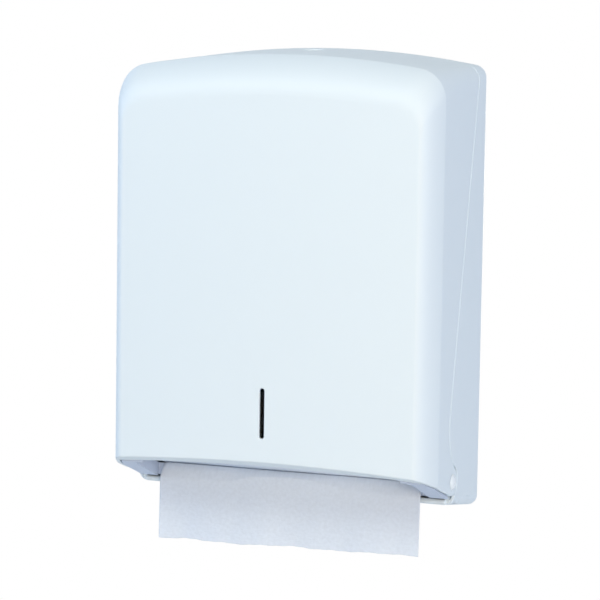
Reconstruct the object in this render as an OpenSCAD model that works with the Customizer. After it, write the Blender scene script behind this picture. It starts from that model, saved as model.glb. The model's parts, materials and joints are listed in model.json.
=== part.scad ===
// Folded towel dispenser for a wall: a back housing, a front cover that swings down on two pins,
// a tray with the towel opening, a key lock in the top of the cover, and a low stack of towels.
// Frame: +X to the viewer's right, +Y into the wall, +Z up, origin at the centre of the wall screws.

/* [Body] */
// Room between the towels and the outside of the body, on each side
side_room = 25; // [22:0.5:32]
// Height from the bottom of the housing to the top of the arch
body_h = 388; // [360:1:430]
// Depth from the wall to the front at the corners
body_d = 134; // [130:1:145]
// Wall thickness of the housing and the cover
wall = 2.8; // [2.2:0.1:3.2]
// Rise of the arched top from its ends to its middle
arch_rise = 14; // [8:1:22]
// Fall of the top from the wall to the front
top_fall = 7; // [5:0.5:10]
// Narrowing of each side from the wall to the front
side_taper = 1.3; // [0.5:0.1:2]
// How far the middle of the front stands out from its sides
front_bow = 4; // [3:0.5:9]
// Radius of the top corners at the wall
corner_r_wall = 11; // [9:1:16]
// Radius of the top corners at the front
corner_r_front = 27; // [22:1:32]
// Radius of the bottom corners of the housing
bottom_r = 9; // [6:0.5:11]
// Width of the rounded front edge, seen from the front
edge_w = 15; // [10:1:18]
// Depth of the rounded front edge, seen from the side
edge_d = 26; // [20:1:30]
// Height of the rounded top edge, seen from the front
edge_h = 32; // [26:1:38]

/* [Seam and bottom] */
// Depth of the housing's rim at the top
rim_top_d = 15; // [13:0.5:19]
// Depth of the housing's rim where its straight edge ends
rim_knee_d = 79; // [76:0.5:82]
// Height of the end of that straight edge
rim_knee_h = 92; // [86:1:100]
// Gap between the cover and the housing
seam_gap = 0.5; // [0.4:0.1:0.8]
// Height of the cover's lower front edge at its ends
cover_bottom_h = 40.5; // [38:0.5:43]
// Rise of the cover's lower edge in its middle
bottom_arch = 4.5; // [3:0.5:6]
// Depth of the flange along the cover's lower front edge
flange_d = 11; // [8:0.5:12]
// Thickness of that flange
flange_t = 3; // [2:0.2:3.6]
// Rise of the housing floor from the wall to its lip
floor_rise = 10; // [8:0.5:11]
// Radius of the lip behind the hanging towel
lip_r = 3; // [2.4:0.1:3.2]

/* [Pivot] */
// Distance of the pivots behind the front corners
pivot_back = 64; // [63:0.5:66]
// Height of the pivots
pivot_h = 31; // [30:0.1:32.5]
// Radius of the cover's round lug at each pivot
lug_r = 12.5; // [11.8:0.1:12.8]
// Gap between the lug and the housing
lug_gap = 0.6; // [0.5:0.1:0.8]
// Distance of the housing's lower edge behind the pivots
stop_back = 6; // [5.5:0.1:6.4]
// Diameter of the pivot pins
pin_d = 8; // [6:0.2:8.4]
// Diameter of the pin heads
head_d = 14; // [13:0.5:16]
// Height of the domed pin heads
head_h = 2.6; // [2:0.1:3.4]
// Thickness of the housing's ears that hold the pins
ear_t = 4.2; // [3.6:0.2:5]
// Outer diameter of the clips on the pins
clip_d = 12; // [11:0.5:13]
// Thickness of the clips
clip_t = 1.6; // [1.2:0.1:1.8]

/* [Tray and guides] */
// Room beside the towels in their opening, on each side
opening_room = 4; // [3:0.5:5]
// Thickness of the tray
tray_t = 2.5; // [2:0.1:3]
// Height of the tray's end tabs above its plate
tab_h = 16; // [14:0.5:18]
// Depth of the tray's front strip
strip_d = 9; // [7:0.5:10]
// Size of the tray's cut front corners
tray_corner = 11; // [10:0.5:14]
// Radius of the towel opening's front corners
opening_r = 9; // [6:0.5:10]
// Thickness of the side guides
guide_t = 2.4; // [2:0.1:3]
// Depth of the side guides from the wall
guide_d = 74; // [60:1:84]
// Lower end of the side guides
guide_z0 = 62; // [58:1:80]
// Height of the side guides
guide_len = 236; // [180:1:250]

/* [Window] */
// Width of the level slot
window_w = 4.2; // [3:0.2:6]
// Height of the level slot
window_len = 42; // [36:1:50]
// Lower end of the level slot
window_z0 = 66.5; // [62:0.5:74]

/* [Towels] */
// Width of a folded towel
towel_w = 240; // [200:1:280]
// Depth of a folded towel
towel_d = 104; // [96:1:106]
// Height of the stack
stack_h = 16; // [12:1:24]
// Thickness of the leading towel
sheet_t = 0.8; // [0.6:0.1:1]
// How far the leading towel hangs below the housing
hang = 36; // [25:1:60]
// Height of the waves in the hanging towel
wave = 2; // [1:0.2:2.4]

/* [Lock] */
// Distance of the lock from the wall
lock_back = 32; // [30:0.5:36]
// Diameter of the lock case
case_d = 12; // [11:0.5:13]
// Diameter of the lock's face
face_d = 18; // [17:0.5:20]
// Length of the lock case under its face
case_len = 16; // [15:0.5:18]
// Diameter of the key cylinder
plug_d = 8; // [7:0.2:8.6]
// Length of the cam from its axis to its tip
cam_len = 21; // [19:0.5:24]
// Width of the cam
cam_w = 10; // [8:0.5:11]
// Thickness of the cam
cam_t = 2.5; // [2:0.1:3]
// Diameter of the keeper's post
post_d = 5; // [4:0.2:5.4]

/* [Mount] */
// Distance between the wall screws, across
screw_dx = 190; // [170:1:200]
// Distance between the wall screws, upright
screw_dz = 220; // [200:1:230]
// Diameter of the wall screw holes
screw_d = 5.5; // [4.5:0.1:6.5]
// Height of the screw pattern's centre above the bottom
mount_h = 200; // [190:1:210]

/* [Hidden] */
$fn = 64;

shell_white = "#e6eff5";
inner_grey = "#c9d1d8";
paper_white = "#eef0f0";
steel = "#b9bec4";

// Clearances: running fit on a radius, seat between fixed pieces, and free space round moving pieces
fit = 0.05;
seat = 0.02;
clear = 0.8;
far = 500;

// Width of the body at the wall, and of the towel opening
body_w = towel_w + 2 * side_room;
opening_w = towel_w + 2 * opening_room;

// Arch of the top and the tapers, as a circle and as rates over the depth
arch_r = (pow(body_w / 2, 2) + pow(arch_rise, 2)) / (2 * arch_rise);
top_rate = top_fall / body_d;
side_rate = side_taper / body_d;
// Angle at which the rounded front edge leaves the sides, so that a crisp line shows there
edge_start = 40;
edge_steps = 6;

// Numbers of steps round the outline: bottom corner, side, top corner, and across
corner_steps = 3;
side_steps = 4;
round_steps = 6;
across_steps = 12;
rows = corner_steps + side_steps + round_steps;

// Pivot axis in the side view, and the line of the cover's lower edge that touches the lug
pivot = [pivot_back - body_d, pivot_h];
front_low = [-body_d, cover_bottom_h];
to_pivot = pivot - front_low;
slope = asin(lug_r / norm(to_pivot)) - atan2(to_pivot[1], to_pivot[0]);
slope_rise = tan(slope);
edge_touch = pivot + lug_r * [-sin(slope), -cos(slope)];
bottom_arch_r = (pow(body_w / 2, 2) + pow(bottom_arch, 2)) / (2 * bottom_arch);
function lower_edge(y) = front_low[1] - (y + body_d) * slope_rise;

// Straight seam from the top to the knee, then a curve to the lug
seam_top = [-rim_top_d, body_h];
seam_knee = [-rim_knee_d, rim_knee_h];
seam_dir = (seam_knee - seam_top) / norm(seam_knee - seam_top);
seam_end = pivot + lug_r * [cos(60), sin(60)];
knee_reach = 31;
seam_pull = [-9, 6];
seam_steps = 8;
function cubic(a, b, c, d, s) =
    a * pow(1 - s, 3) + 3 * b * s * pow(1 - s, 2) + 3 * c * s * s * (1 - s) + d * pow(s, 3);
function seam_curve() = [for (k = [0:seam_steps])
    cubic(seam_knee, seam_knee + knee_reach * seam_dir, seam_end + seam_pull, seam_end, k / seam_steps)];
function seam_above(z) = seam_knee + seam_dir * (z - seam_knee[1]) / seam_dir[1];

// Housing floor, lip and ribs
floor_rate = floor_rise / -(pivot[0] + stop_back);
lip_y = pivot[0] + stop_back;
rib_t = 3;
rib_x = [-80, 0, 80];

// Tray plate: above the flange, parallel to the cover's lower edge
tray_lift = (bottom_arch + flange_t + clear) / cos(slope);
tray_top_lift = tray_lift + tray_t / cos(slope);
function tray_z(y) = lower_edge(y) + tray_lift;
function rest_z(y) = lower_edge(y) + tray_top_lift;
strip_y0 = -body_d + wall + 2 * clear;
strip_y1 = strip_y0 + strip_d;
wing_y1 = pivot[0] - 2;

// Lower wings of the tray: level with the cover's lower edge, behind its flange, down to the lip
low_y0 = -body_d + wall + flange_d + clear;
low_lip_gap = 1.2;
low_y1 = lip_y - lip_r - low_lip_gap;
low_lift = 0.3;
low_dip = 1.5;
low_cut = [5, 14];
function low_z(y) = lower_edge(y) + low_lift - low_dip * (y - low_y0) / (low_y1 - low_y0);

// Skirt of the tray behind the towel opening, above the housing's lip
skirt_y0 = lip_y - tray_t;
skirt_z0 = -lip_y * floor_rate + 2 * lip_r + clear;

// Ears that carry the pins and the tray
ear_out = body_w / 2 - side_taper - wall - clear;
ear_in = ear_out - ear_t;
ear_reach = 34;
ear_back = 8;
ear_rise = 22;
ear_y0 = pivot[0] - ear_reach;
ear_y1 = pivot[0] + lug_r + ear_back;
ear_low_y = pivot[0] - pin_d;
ear_edge = 1;
function ear_low(y) = low_z(y) + tray_t + clear;
ear_top = pivot_h + ear_rise;
bridge_y0 = pivot[0] + lug_r + lug_gap + clear;
tray_half = ear_in - clip_t - clear;
tab_edge = 3;
tab_y0 = ear_y0 + tab_edge;
tab_y1 = pivot[0] - clip_d / 2 - tab_edge;
tab_t = ear_in - tray_half;

// Pin: the head lies outside the cover, the tip ends inside the clip
function half_w(y) = body_w / 2 + side_rate * y;
head_x = half_w(pivot[0]) + side_rate * head_d / 2 + 0.1;
pin_tip_x = ear_in - clip_t - 0.3;
boss_r = lug_r - 1;

// Guides beside the towels, each with a foot on the back wall
guide_in = towel_w / 2 + clear;
foot_w = 13;
foot_t = 2.6;

// Lock: heights along its axis, from the face down
lock_top = body_h - top_rate * lock_back;
face_t = 1.5;
face_sink = 2.2;
boss_d = face_d + 5;
boss_h = 5;
face_z = lock_top - face_sink;
nut_t = 3.5;
nut_w = case_d + 6;
nut_z = lock_top - wall - boss_h - nut_t;
case_z = face_z - case_len;
cam_gap = 0.4;
cam_z = case_z - cam_gap - cam_t;
shank_d = plug_d - 2;
cam_screw_d = 3;
hub_r = plug_d / 2 + 2;
post_gap = 0.5;
post_x = 1 + cam_w / 2 - cam_len;
post_y = -lock_back - cam_w / 2 - post_gap - post_d / 2;
keeper_w = 20;
keeper_t = 3;
keeper_z = cam_z - 2.5;
keeper_drop = 20;
post_over = 2;

// Small screws: head and shank
small_head_d = 6;
small_head_h = 1.8;
small_d = 3;
small_len = 5;

// Towel sheet: its side view runs from the stack's underside forward to a bend and down before the lip
sheet_cols = 30;
panel_steps = 5;
hang_steps = 7;
sheet_gap = 1.2;
panel_lean = 6;
bend_rise = 3.4;
panel_drop = 0.6;
panel_y0 = lip_y - lip_r - sheet_t / 2 - sheet_gap;
sheet_y = panel_y0 - panel_lean;
bend_z = lip_y * -floor_rate + lip_r + bend_rise;

// Layers of the body from the wall to the front: depth, side inset, top inset, corner radius, bow share
function edge_layer(q, t) = let (
    s = (sin(q) - sin(edge_start)) / (1 - sin(edge_start)),
    c = (cos(edge_start) - cos(q)) / cos(edge_start))
    [-(body_d - t - edge_d) - edge_d * s, t + edge_w * c, t + edge_h * c,
     corner_r_front - t - 0.35 * edge_w * c, s];
function layers(t, y0) = concat(
    [[y0, t, t, corner_r_wall - t, 0]],
    [for (k = [0:edge_steps]) edge_layer(edge_start + (90 - edge_start) * k / edge_steps, t)]);

// Points of one layer's outline
function side_x(l) = half_w(l[0]) - l[1];
function arch_z(l) = body_h + top_rate * l[0] - l[2] - arch_r;
function corner_x(l) = side_x(l) - l[3];
function corner_z(l) = arch_z(l) + sqrt(pow(arch_r - l[3], 2) - pow(corner_x(l), 2));
function corner_end(l) = atan2(corner_z(l) - arch_z(l), corner_x(l));
function side_point(l, i, low, low_r) =
    i <= corner_steps ?
        let (a = -90 + 90 * i / corner_steps)
        [side_x(l) - low_r + low_r * cos(a), low + low_r + low_r * sin(a)] :
    i <= corner_steps + side_steps ?
        let (s = (i - corner_steps) / side_steps)
        [side_x(l), (low + low_r) * (1 - s) + corner_z(l) * s] :
        let (a = corner_end(l) * (i - corner_steps - side_steps) / round_steps)
        [corner_x(l) + l[3] * cos(a), corner_z(l) + l[3] * sin(a)];
function grid_point(l, i, j, low, low_r) = let (
    p = side_point(l, i, low, low_r),
    e = side_point(l, rows, low, low_r),
    s = 2 * j / across_steps - 1,
    x = p[0] * s,
    top = arch_z(l) + sqrt(pow(arch_r, 2) - pow(e[0] * s, 2)),
    z = low + (p[1] - low) / (e[1] - low) * (top - low),
    bow = front_bow * l[4] * (1 - pow(x / side_x(l), 2)))
    [x, l[0] - bow, z];
function outline(l, low, low_r) = concat(
    [for (i = [0:rows]) grid_point(l, i, 0, low, low_r)],
    [for (j = [1:across_steps - 1]) grid_point(l, rows, j, low, low_r)],
    [for (i = [rows:-1:0]) grid_point(l, i, across_steps, low, low_r)],
    [for (j = [across_steps - 1:-1:1]) grid_point(l, 0, j, low, low_r)]);

// Place of a grid point in the list of points: on the last outline, or inside the front
round_count = 2 * (rows + across_steps);
function grid_index(i, j, base) =
    j == 0 ? base + i :
    j == across_steps ? base + 2 * rows + across_steps - i :
    i == rows ? base + rows + j :
    i == 0 ? base + 2 * rows + 2 * across_steps - j :
    base + round_count + (i - 1) * (across_steps - 1) + j - 1;

// Closed body with insets t, from depth y0, with its underside at low and rising forward at low_rate
module body_loft(t, y0, low, low_rate, low_r) {
    stack = layers(t, y0);
    last = len(stack) - 1;
    lows = [for (l = stack) low - low_rate * l[0]];
    front = stack[last];
    points = concat(
        [for (k = [0:last]) each outline(stack[k], lows[k], low_r)],
        [for (i = [1:rows - 1], j = [1:across_steps - 1]) grid_point(front, i, j, lows[last], low_r)],
        [[0, y0, body_h / 2]]);
    base = last * round_count;
    middle = len(points) - 1;
    sides = [for (k = [0:last - 1], p = [0:round_count - 1]) let (
        a = k * round_count + p,
        b = k * round_count + (p + 1) % round_count)
        each [[a, b, b + round_count], [a, b + round_count, a + round_count]]];
    cap = [for (i = [0:rows - 1], j = [0:across_steps - 1]) let (
        a = grid_index(i, j, base),
        b = grid_index(i + 1, j, base),
        c = grid_index(i + 1, j + 1, base),
        d = grid_index(i, j + 1, base))
        each [[a, b, c], [a, c, d]]];
    back = [for (p = [0:round_count - 1]) [(p + 1) % round_count, p, middle]];
    polyhedron(points, concat(sides, cap, back));
}
module outer_body(low, low_rate, low_r) body_loft(0, 0, low, low_rate, low_r);
module inner_body(low, low_rate, low_r) body_loft(wall, 1, low, low_rate, low_r);

// From heights above the bottom to the frame at the wall screws
module placed() translate([0, 0, -mount_h]) children();
// A side view, in depth and height, made solid from x0 to x1
module side_view(x0, x1) translate([x0, 0, 0]) rotate([90, 0, 90]) linear_extrude(x1 - x0) children();
module both_sides() {
    children();
    mirror([1, 0, 0]) children();
}
module bar_x(d, x0, x1, y, z) translate([x0, y, z]) rotate([0, 90, 0]) cylinder(d = d, h = x1 - x0);
module bar_y(d, y0, y1, x, z) translate([x, y0, z]) rotate([-90, 0, 0]) cylinder(d = d, h = y1 - y0);
module small_screw() {
    cylinder(d = small_head_d, h = small_head_h);
    translate([0, 0, -small_len]) cylinder(d = small_d, h = small_len);
}

// Side views of the two shells
module cover_view() {
    polygon(concat(
        [seam_above(far), [-far, far], [-far, lower_edge(-far)], edge_touch, pivot],
        [for (k = [seam_steps:-1:0]) seam_curve()[k]]));
    translate(pivot) circle(lug_r);
}
module housing_view() difference() {
    polygon(concat(
        [[far, far], seam_above(far) + [seam_gap, 0]],
        [for (p = seam_curve()) p + [seam_gap, 0]],
        [[lip_y, pivot_h], [lip_y, -far], [far, -far]]));
    translate(pivot) circle(lug_r + lug_gap);
}
module ear_view() polygon([
    [ear_y0, rest_z(ear_y0)], [ear_y0, ear_top], [ear_y1, ear_top],
    [ear_y1, -ear_y1 * floor_rate + wall / 2], [lip_y, -lip_y * floor_rate + wall / 2],
    [lip_y - ear_edge, ear_low(lip_y - ear_edge)], [ear_low_y, ear_low(ear_low_y)],
    [pivot[0] - lug_r, rest_z(pivot[0] - lug_r)]]);

// Places of the small screws, in depth and height or across and height
tray_screw_at = [for (y = [tab_y0 + small_head_d, tab_y1 - small_head_d]) [y, rest_z(y) + tab_h / 2]];
guide_screw_z = [guide_z0 + foot_w, guide_z0 + guide_len - foot_w];
guide_screw_x = guide_in + guide_t + foot_w / 2;
keeper_screw_x = [post_x - keeper_w / 4, post_x + keeper_w / 4];
keeper_screw_z = keeper_z - keeper_t - keeper_drop / 2;

// Housing: back wall, rim, floor with lip and ribs, ears for the pins
module back_housing() color(shell_white) placed() difference() {
    union() {
        intersection() {
            difference() {
                outer_body(0, floor_rate, bottom_r);
                inner_body(wall, floor_rate, bottom_r - wall);
            }
            side_view(-far, far) housing_view();
        }
        intersection() {
            outer_body(0, floor_rate, bottom_r);
            translate([-far / 2, -wall, -far]) cube([far, wall, 2 * far]);
        }
        bar_x(2 * lip_r, -ear_out, ear_out, lip_y, -lip_y * floor_rate + lip_r);
        for (x = rib_x) side_view(x - rib_t / 2, x + rib_t / 2) polygon([
            [-wall / 2, wall / 2], [lip_y + 2 * lip_r, lip_y * -floor_rate + wall / 2],
            [lip_y + 2 * lip_r, rest_z(lip_y + 2 * lip_r) - 0.3], [-wall / 2, rest_z(-wall / 2) - 0.3]]);
        both_sides() {
            side_view(ear_in, ear_out) ear_view();
            side_view(ear_in, half_w(bridge_y0) - wall / 2) polygon([
                [bridge_y0, -bridge_y0 * floor_rate + wall / 2], [bridge_y0, ear_top],
                [ear_y1, ear_top], [ear_y1, -ear_y1 * floor_rate + wall / 2]]);
        }
    }
    for (x = [-1, 1], z = [-1, 1])
        bar_y(screw_d, -far / 2, far / 2, x * screw_dx / 2, mount_h + z * screw_dz / 2);
    bar_x(pin_d + 2 * seat, -far, far, pivot[0], pivot[1]);
    both_sides() {
        for (p = tray_screw_at) bar_x(small_d + 2 * seat, ear_in - 1, ear_out + 1, p[0], p[1]);
        for (z = guide_screw_z)
            bar_y(small_d + 2 * seat, -far / 2, far / 2, guide_screw_x, z);
    }
    for (x = keeper_screw_x) bar_y(small_d + 2 * seat, -far / 2, far / 2, x, keeper_screw_z);
}

// Cover: shell, lower flange, pivot bosses, level slot and lock hole
module front_cover() color(shell_white) placed() difference() {
    union() {
        intersection() {
            difference() {
                outer_body(-far / 4, 0, 4);
                inner_body(-far / 3, 0, 4);
            }
            side_view(-far, far) cover_view();
        }
        intersection() {
            outer_body(-far / 4, 0, 4);
            translate([-far / 2, -far / 2, 0])
                cube([far, far / 2 - body_d + wall + flange_d, body_h / 2]);
            arched_bottom(flange_t);
        }
        intersection() {
            outer_body(-far / 4, 0, 4);
            translate([0, -lock_back, lock_top - wall - boss_h]) cylinder(d = boss_d, h = far);
        }
        both_sides() bar_x(2 * boss_r, ear_out + 0.4, half_w(pivot[0]) - wall / 2, pivot[0], pivot[1]);
    }
    arched_bottom(0);
    bar_x(pin_d + 2 * fit, -far, far, pivot[0], pivot[1]);
    for (z = [window_z0 + window_w / 2, window_z0 + window_len - window_w / 2])
        bar_y(window_w, -far, -body_d / 2, 0, z);
    translate([-window_w / 2, -far, window_z0 + window_w / 2])
        cube([window_w, far - body_d / 2, window_len - window_w]);
    translate([0, -lock_back, 0]) cylinder(d = case_d + 2 * fit, h = far);
    translate([0, -lock_back, face_z]) cylinder(d = face_d + 4 * fit, h = far);
}
// Solid under the arched lower edge of the cover, raised by up
module arched_bottom(up) translate([0, front_low[0], front_low[1]]) rotate([-slope, 0, 0])
    translate([0, 0, bottom_arch - bottom_arch_r]) rotate([-90, 0, 0]) translate([0, 0, -far / 4])
        cylinder(r = bottom_arch_r + up, h = far / 4 + norm(edge_touch - front_low) + lug_r / 2, $fn = 720);

// Tray: front strip and two wings round the towel opening, tabs on the ears, a skirt behind the
// opening, and lower wings that close the cover's bottom beside it
module towel_tray() color(inner_grey) placed() difference() {
    union() {
        intersection() {
            side_view(-tray_half, tray_half) polygon(plate(strip_y0, wing_y1));
            linear_extrude(body_h) tray_plan();
        }
        side_view(-(opening_w + tray_t) / 2, (opening_w + tray_t) / 2) polygon([
            [skirt_y0, skirt_z0], [skirt_y0, rest_z(skirt_y0) - clear], [lip_y, rest_z(lip_y) - clear],
            [lip_y, skirt_z0]]);
        both_sides() {
            side_view(tray_half - tab_t, ear_in) polygon([
                [tab_y0, tray_z(tab_y0)], [tab_y0, rest_z(tab_y0) + tab_h],
                [tab_y1, rest_z(tab_y1) + tab_h], [tab_y1, tray_z(tab_y1)]]);
            side_view(opening_w / 2, opening_w / 2 + tray_t) polygon([
                [low_y0, low_z(low_y0)], [low_y0, rest_z(low_y0)], [lip_y, rest_z(lip_y) - clear],
                [lip_y, skirt_z0], [low_y1, skirt_z0], [low_y1, low_z(low_y1)]]);
            intersection() {
                side_view(0, far) polygon([
                    [low_y0, low_z(low_y0)], [low_y0, low_z(low_y0) + tray_t],
                    [low_y1, low_z(low_y1) + tray_t], [low_y1, low_z(low_y1)]]);
                linear_extrude(body_h) low_wing_plan();
            }
        }
    }
    both_sides() for (p = tray_screw_at) bar_x(small_d + 2 * seat, 0, far, p[0], p[1]);
}
module tray_plan() difference() {
    polygon([
        [tray_half, wing_y1], [tray_half, strip_y0 + tray_corner], [tray_half - tray_corner, strip_y0],
        [tray_corner - tray_half, strip_y0], [-tray_half, strip_y0 + tray_corner], [-tray_half, wing_y1]]);
    translate([-opening_w / 2, strip_y1]) square([opening_w, far]);
}
module low_wing_plan() difference() {
    polygon([
        [opening_w / 2 - opening_r, low_y0], [ear_out - low_cut[0], low_y0], [ear_out, low_y0 + low_cut[1]],
        [ear_out, low_y1], [opening_w / 2, low_y1],
        [opening_w / 2, low_y0 + opening_r], [opening_w / 2 - opening_r, low_y0 + opening_r]]);
    translate([opening_w / 2 - opening_r, low_y0 + opening_r]) circle(opening_r);
}
function plate(y0, y1) = [[y0, tray_z(y0)], [y0, rest_z(y0)], [y1, rest_z(y1)], [y1, tray_z(y1)]];
module tray_screws() color(steel) placed() both_sides() for (p = tray_screw_at)
    translate([tray_half - tab_t, p[0], p[1]]) rotate([0, -90, 0]) small_screw();

// Side guide: a plate beside the towels with a foot on the back wall
module towel_guide() difference() {
    union() {
        translate([guide_in, -guide_d, guide_z0]) cube([guide_t, guide_d - wall, guide_len]);
        translate([guide_in, -wall - foot_t, guide_z0]) cube([guide_t + foot_w, foot_t, guide_len]);
    }
    for (z = guide_screw_z) bar_y(small_d + 2 * seat, -far, 0, guide_screw_x, z);
}
module left_towel_guide() color(inner_grey) placed() mirror([1, 0, 0]) towel_guide();
module right_towel_guide() color(inner_grey) placed() towel_guide();
module guide_screws() color(steel) placed() both_sides() for (z = guide_screw_z)
    translate([guide_screw_x, -wall - foot_t, z]) rotate([90, 0, 0]) small_screw();

// Keeper: bracket on the back wall with the post that the cam turns in behind
module lock_keeper() color(steel) placed() difference() {
    union() {
        translate([post_x - keeper_w / 2, post_y - post_d, keeper_z - keeper_t])
            cube([keeper_w, -wall - post_y + post_d, keeper_t]);
        translate([post_x - keeper_w / 2, -wall - keeper_t, keeper_z - keeper_t - keeper_drop])
            cube([keeper_w, keeper_t, keeper_drop + keeper_t]);
        translate([post_x, post_y, keeper_z - keeper_t / 2])
            cylinder(d = post_d, h = cam_z + cam_t + post_over - keeper_z + keeper_t / 2);
    }
    for (x = keeper_screw_x) bar_y(small_d + 2 * seat, -far, 0, x, keeper_screw_z);
}
module keeper_screws() color(steel) placed() for (x = keeper_screw_x)
    translate([x, -wall - keeper_t, keeper_screw_z]) rotate([90, 0, 0]) small_screw();

// Pivot pin with a domed head outside the cover, and the clip on its inner end
module pivot_pin() translate([0, pivot[0], pivot[1]]) rotate([0, 90, 0]) {
    translate([0, 0, pin_tip_x]) cylinder(d = pin_d, h = head_x - pin_tip_x + 0.5);
    dome_r = (pow(head_d / 2, 2) + pow(head_h, 2)) / (2 * head_h);
    intersection() {
        translate([0, 0, head_x]) cylinder(d = head_d, h = head_h + 1);
        translate([0, 0, head_x + head_h - dome_r]) sphere(dome_r, $fn = 180);
    }
}
module pin_clip() difference() {
    bar_x(clip_d, ear_in - clip_t, ear_in, pivot[0], pivot[1]);
    bar_x(pin_d + 2 * seat, 0, far, pivot[0], pivot[1]);
}
module left_pivot_pin() color(shell_white) placed() mirror([1, 0, 0]) pivot_pin();
module right_pivot_pin() color(shell_white) placed() pivot_pin();
module left_pin_clip() color(steel) placed() mirror([1, 0, 0]) pin_clip();
module right_pin_clip() color(steel) placed() pin_clip();

// Towels that wait in the housing, on the tray's strip and the housing's ribs
module towel_stack() color(paper_white) placed()
    translate([0, strip_y0 + clear, rest_z(strip_y0 + clear) + 0.3]) rotate([-slope, 0, 0])
        translate([-towel_w / 2, 0, 0]) cube([towel_w, towel_d, stack_h]);

// Lock: case through the cover's top, nut under it, cylinder with key slot, cam and its screw
module lock_axis() placed() translate([0, -lock_back, 0]) children();
module lock_case() color(steel) lock_axis() difference() {
    union() {
        translate([0, 0, face_z]) cylinder(d = face_d, h = face_t);
        translate([0, 0, case_z]) cylinder(d = case_d, h = case_len + face_t / 2);
    }
    cylinder(d = plug_d + 2 * fit, h = far);
}
module lock_nut() color(steel) lock_axis() difference() {
    translate([0, 0, nut_z]) cylinder(d = nut_w / cos(30), h = nut_t, $fn = 6);
    cylinder(d = case_d + 2 * seat, h = far);
}
module lock_cylinder() color(steel) lock_axis() difference() {
    union() {
        translate([0, 0, case_z - cam_gap]) cylinder(d = plug_d, h = case_len + cam_gap + face_t);
        translate([0, 0, cam_z]) cylinder(d = shank_d, h = cam_t + 1);
    }
    translate([-0.6, -plug_d / 3, face_z - 4]) cube([1.2, plug_d * 2 / 3, far]);
    translate([0, 0, cam_z - 1]) cylinder(d = cam_screw_d + 2 * seat, h = small_len + 2);
}
module lock_cam() color(steel) lock_axis() translate([0, 0, cam_z]) difference() {
    linear_extrude(cam_t) {
        circle(hub_r);
        translate([-cam_w / 2, 0]) square([cam_w, cam_len - cam_w / 2]);
        translate([0, cam_len - cam_w / 2]) circle(d = cam_w);
    }
    translate([0, 0, -1]) cylinder(d = shank_d + 2 * seat, h = cam_t + 2);
}
module cam_screw() color(steel) lock_axis() {
    translate([0, 0, cam_z - small_head_h]) cylinder(d = shank_d + 2, h = small_head_h);
    translate([0, 0, cam_z - 0.1]) cylinder(d = cam_screw_d, h = small_len);
}

// Leading towel: one wavy sheet, from under the stack over its bend and down to its loose end
function sheet_end(x) = -hang + 2.5 * sin(1.6 * x + 40) + 1.5 * sin(4.1 * x);
function sheet_wave(x, s) = wave * s * (0.7 * sin(2.9 * x + 20) + 0.3 * sin(7.3 * x + 80));
function sheet_mid(x, k) =
    k <= panel_steps ?
        let (s = k / panel_steps, z0 = rest_z(panel_y0) - panel_drop)
        [panel_y0 + (sheet_y - panel_y0) * s, z0 + (bend_z - z0) * (0.35 * s + 0.65 * s * s)] :
        let (s = (k - panel_steps) / hang_steps)
        [sheet_y - 1.2 * wave * s + sheet_wave(x, s), bend_z + (sheet_end(x) - bend_z) * s];
sheet_rows = panel_steps + hang_steps;
function sheet_dir(x, k) = let (
    d = sheet_mid(x, min(k + 1, sheet_rows)) - sheet_mid(x, max(k - 1, 0)))
    d / norm(d);
function sheet_point(x, k, side) = let (m = sheet_mid(x, k), d = sheet_dir(x, k))
    [x, m[0] + side * sheet_t / 2 * d[1], m[1] - side * sheet_t / 2 * d[0]];
module leading_towel() color(paper_white) placed() {
    xs = [for (c = [0:sheet_cols]) towel_w * (c / sheet_cols - 0.5)];
    loop = 2 * (sheet_rows + 1);
    points = [for (x = xs) each concat(
        [for (k = [0:sheet_rows]) sheet_point(x, k, 1)],
        [for (k = [sheet_rows:-1:0]) sheet_point(x, k, -1)])];
    skin = [for (c = [0:sheet_cols - 1], p = [0:loop - 1]) let (
        a = c * loop + p,
        b = c * loop + (p + 1) % loop)
        each [[a, b + loop, b], [a, a + loop, b + loop]]];
    ends = [for (k = [0:sheet_rows - 1]) let (a = k, b = k + 1, c = loop - 2 - k, d = loop - 1 - k)
        each [[a, b, c], [a, c, d]]];
    far_ends = [for (f = ends) [for (v = [f[2], f[1], f[0]]) v + sheet_cols * loop]];
    polyhedron(points, concat(skin, ends, far_ends));
}

back_housing();
towel_tray();
tray_screws();
left_towel_guide();
right_towel_guide();
guide_screws();
lock_keeper();
keeper_screws();
left_pivot_pin();
right_pivot_pin();
left_pin_clip();
right_pin_clip();
towel_stack();
front_cover();
lock_case();
lock_nut();
lock_cylinder();
lock_cam();
cam_screw();
leading_towel();
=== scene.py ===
import json
import math
import random
from collections import namedtuple
from functools import partial

import bmesh
import bpy
import numpy as np
from bpy.props import FloatProperty, FloatVectorProperty, IntProperty, PointerProperty, StringProperty
from mathutils import Matrix, Vector


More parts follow.
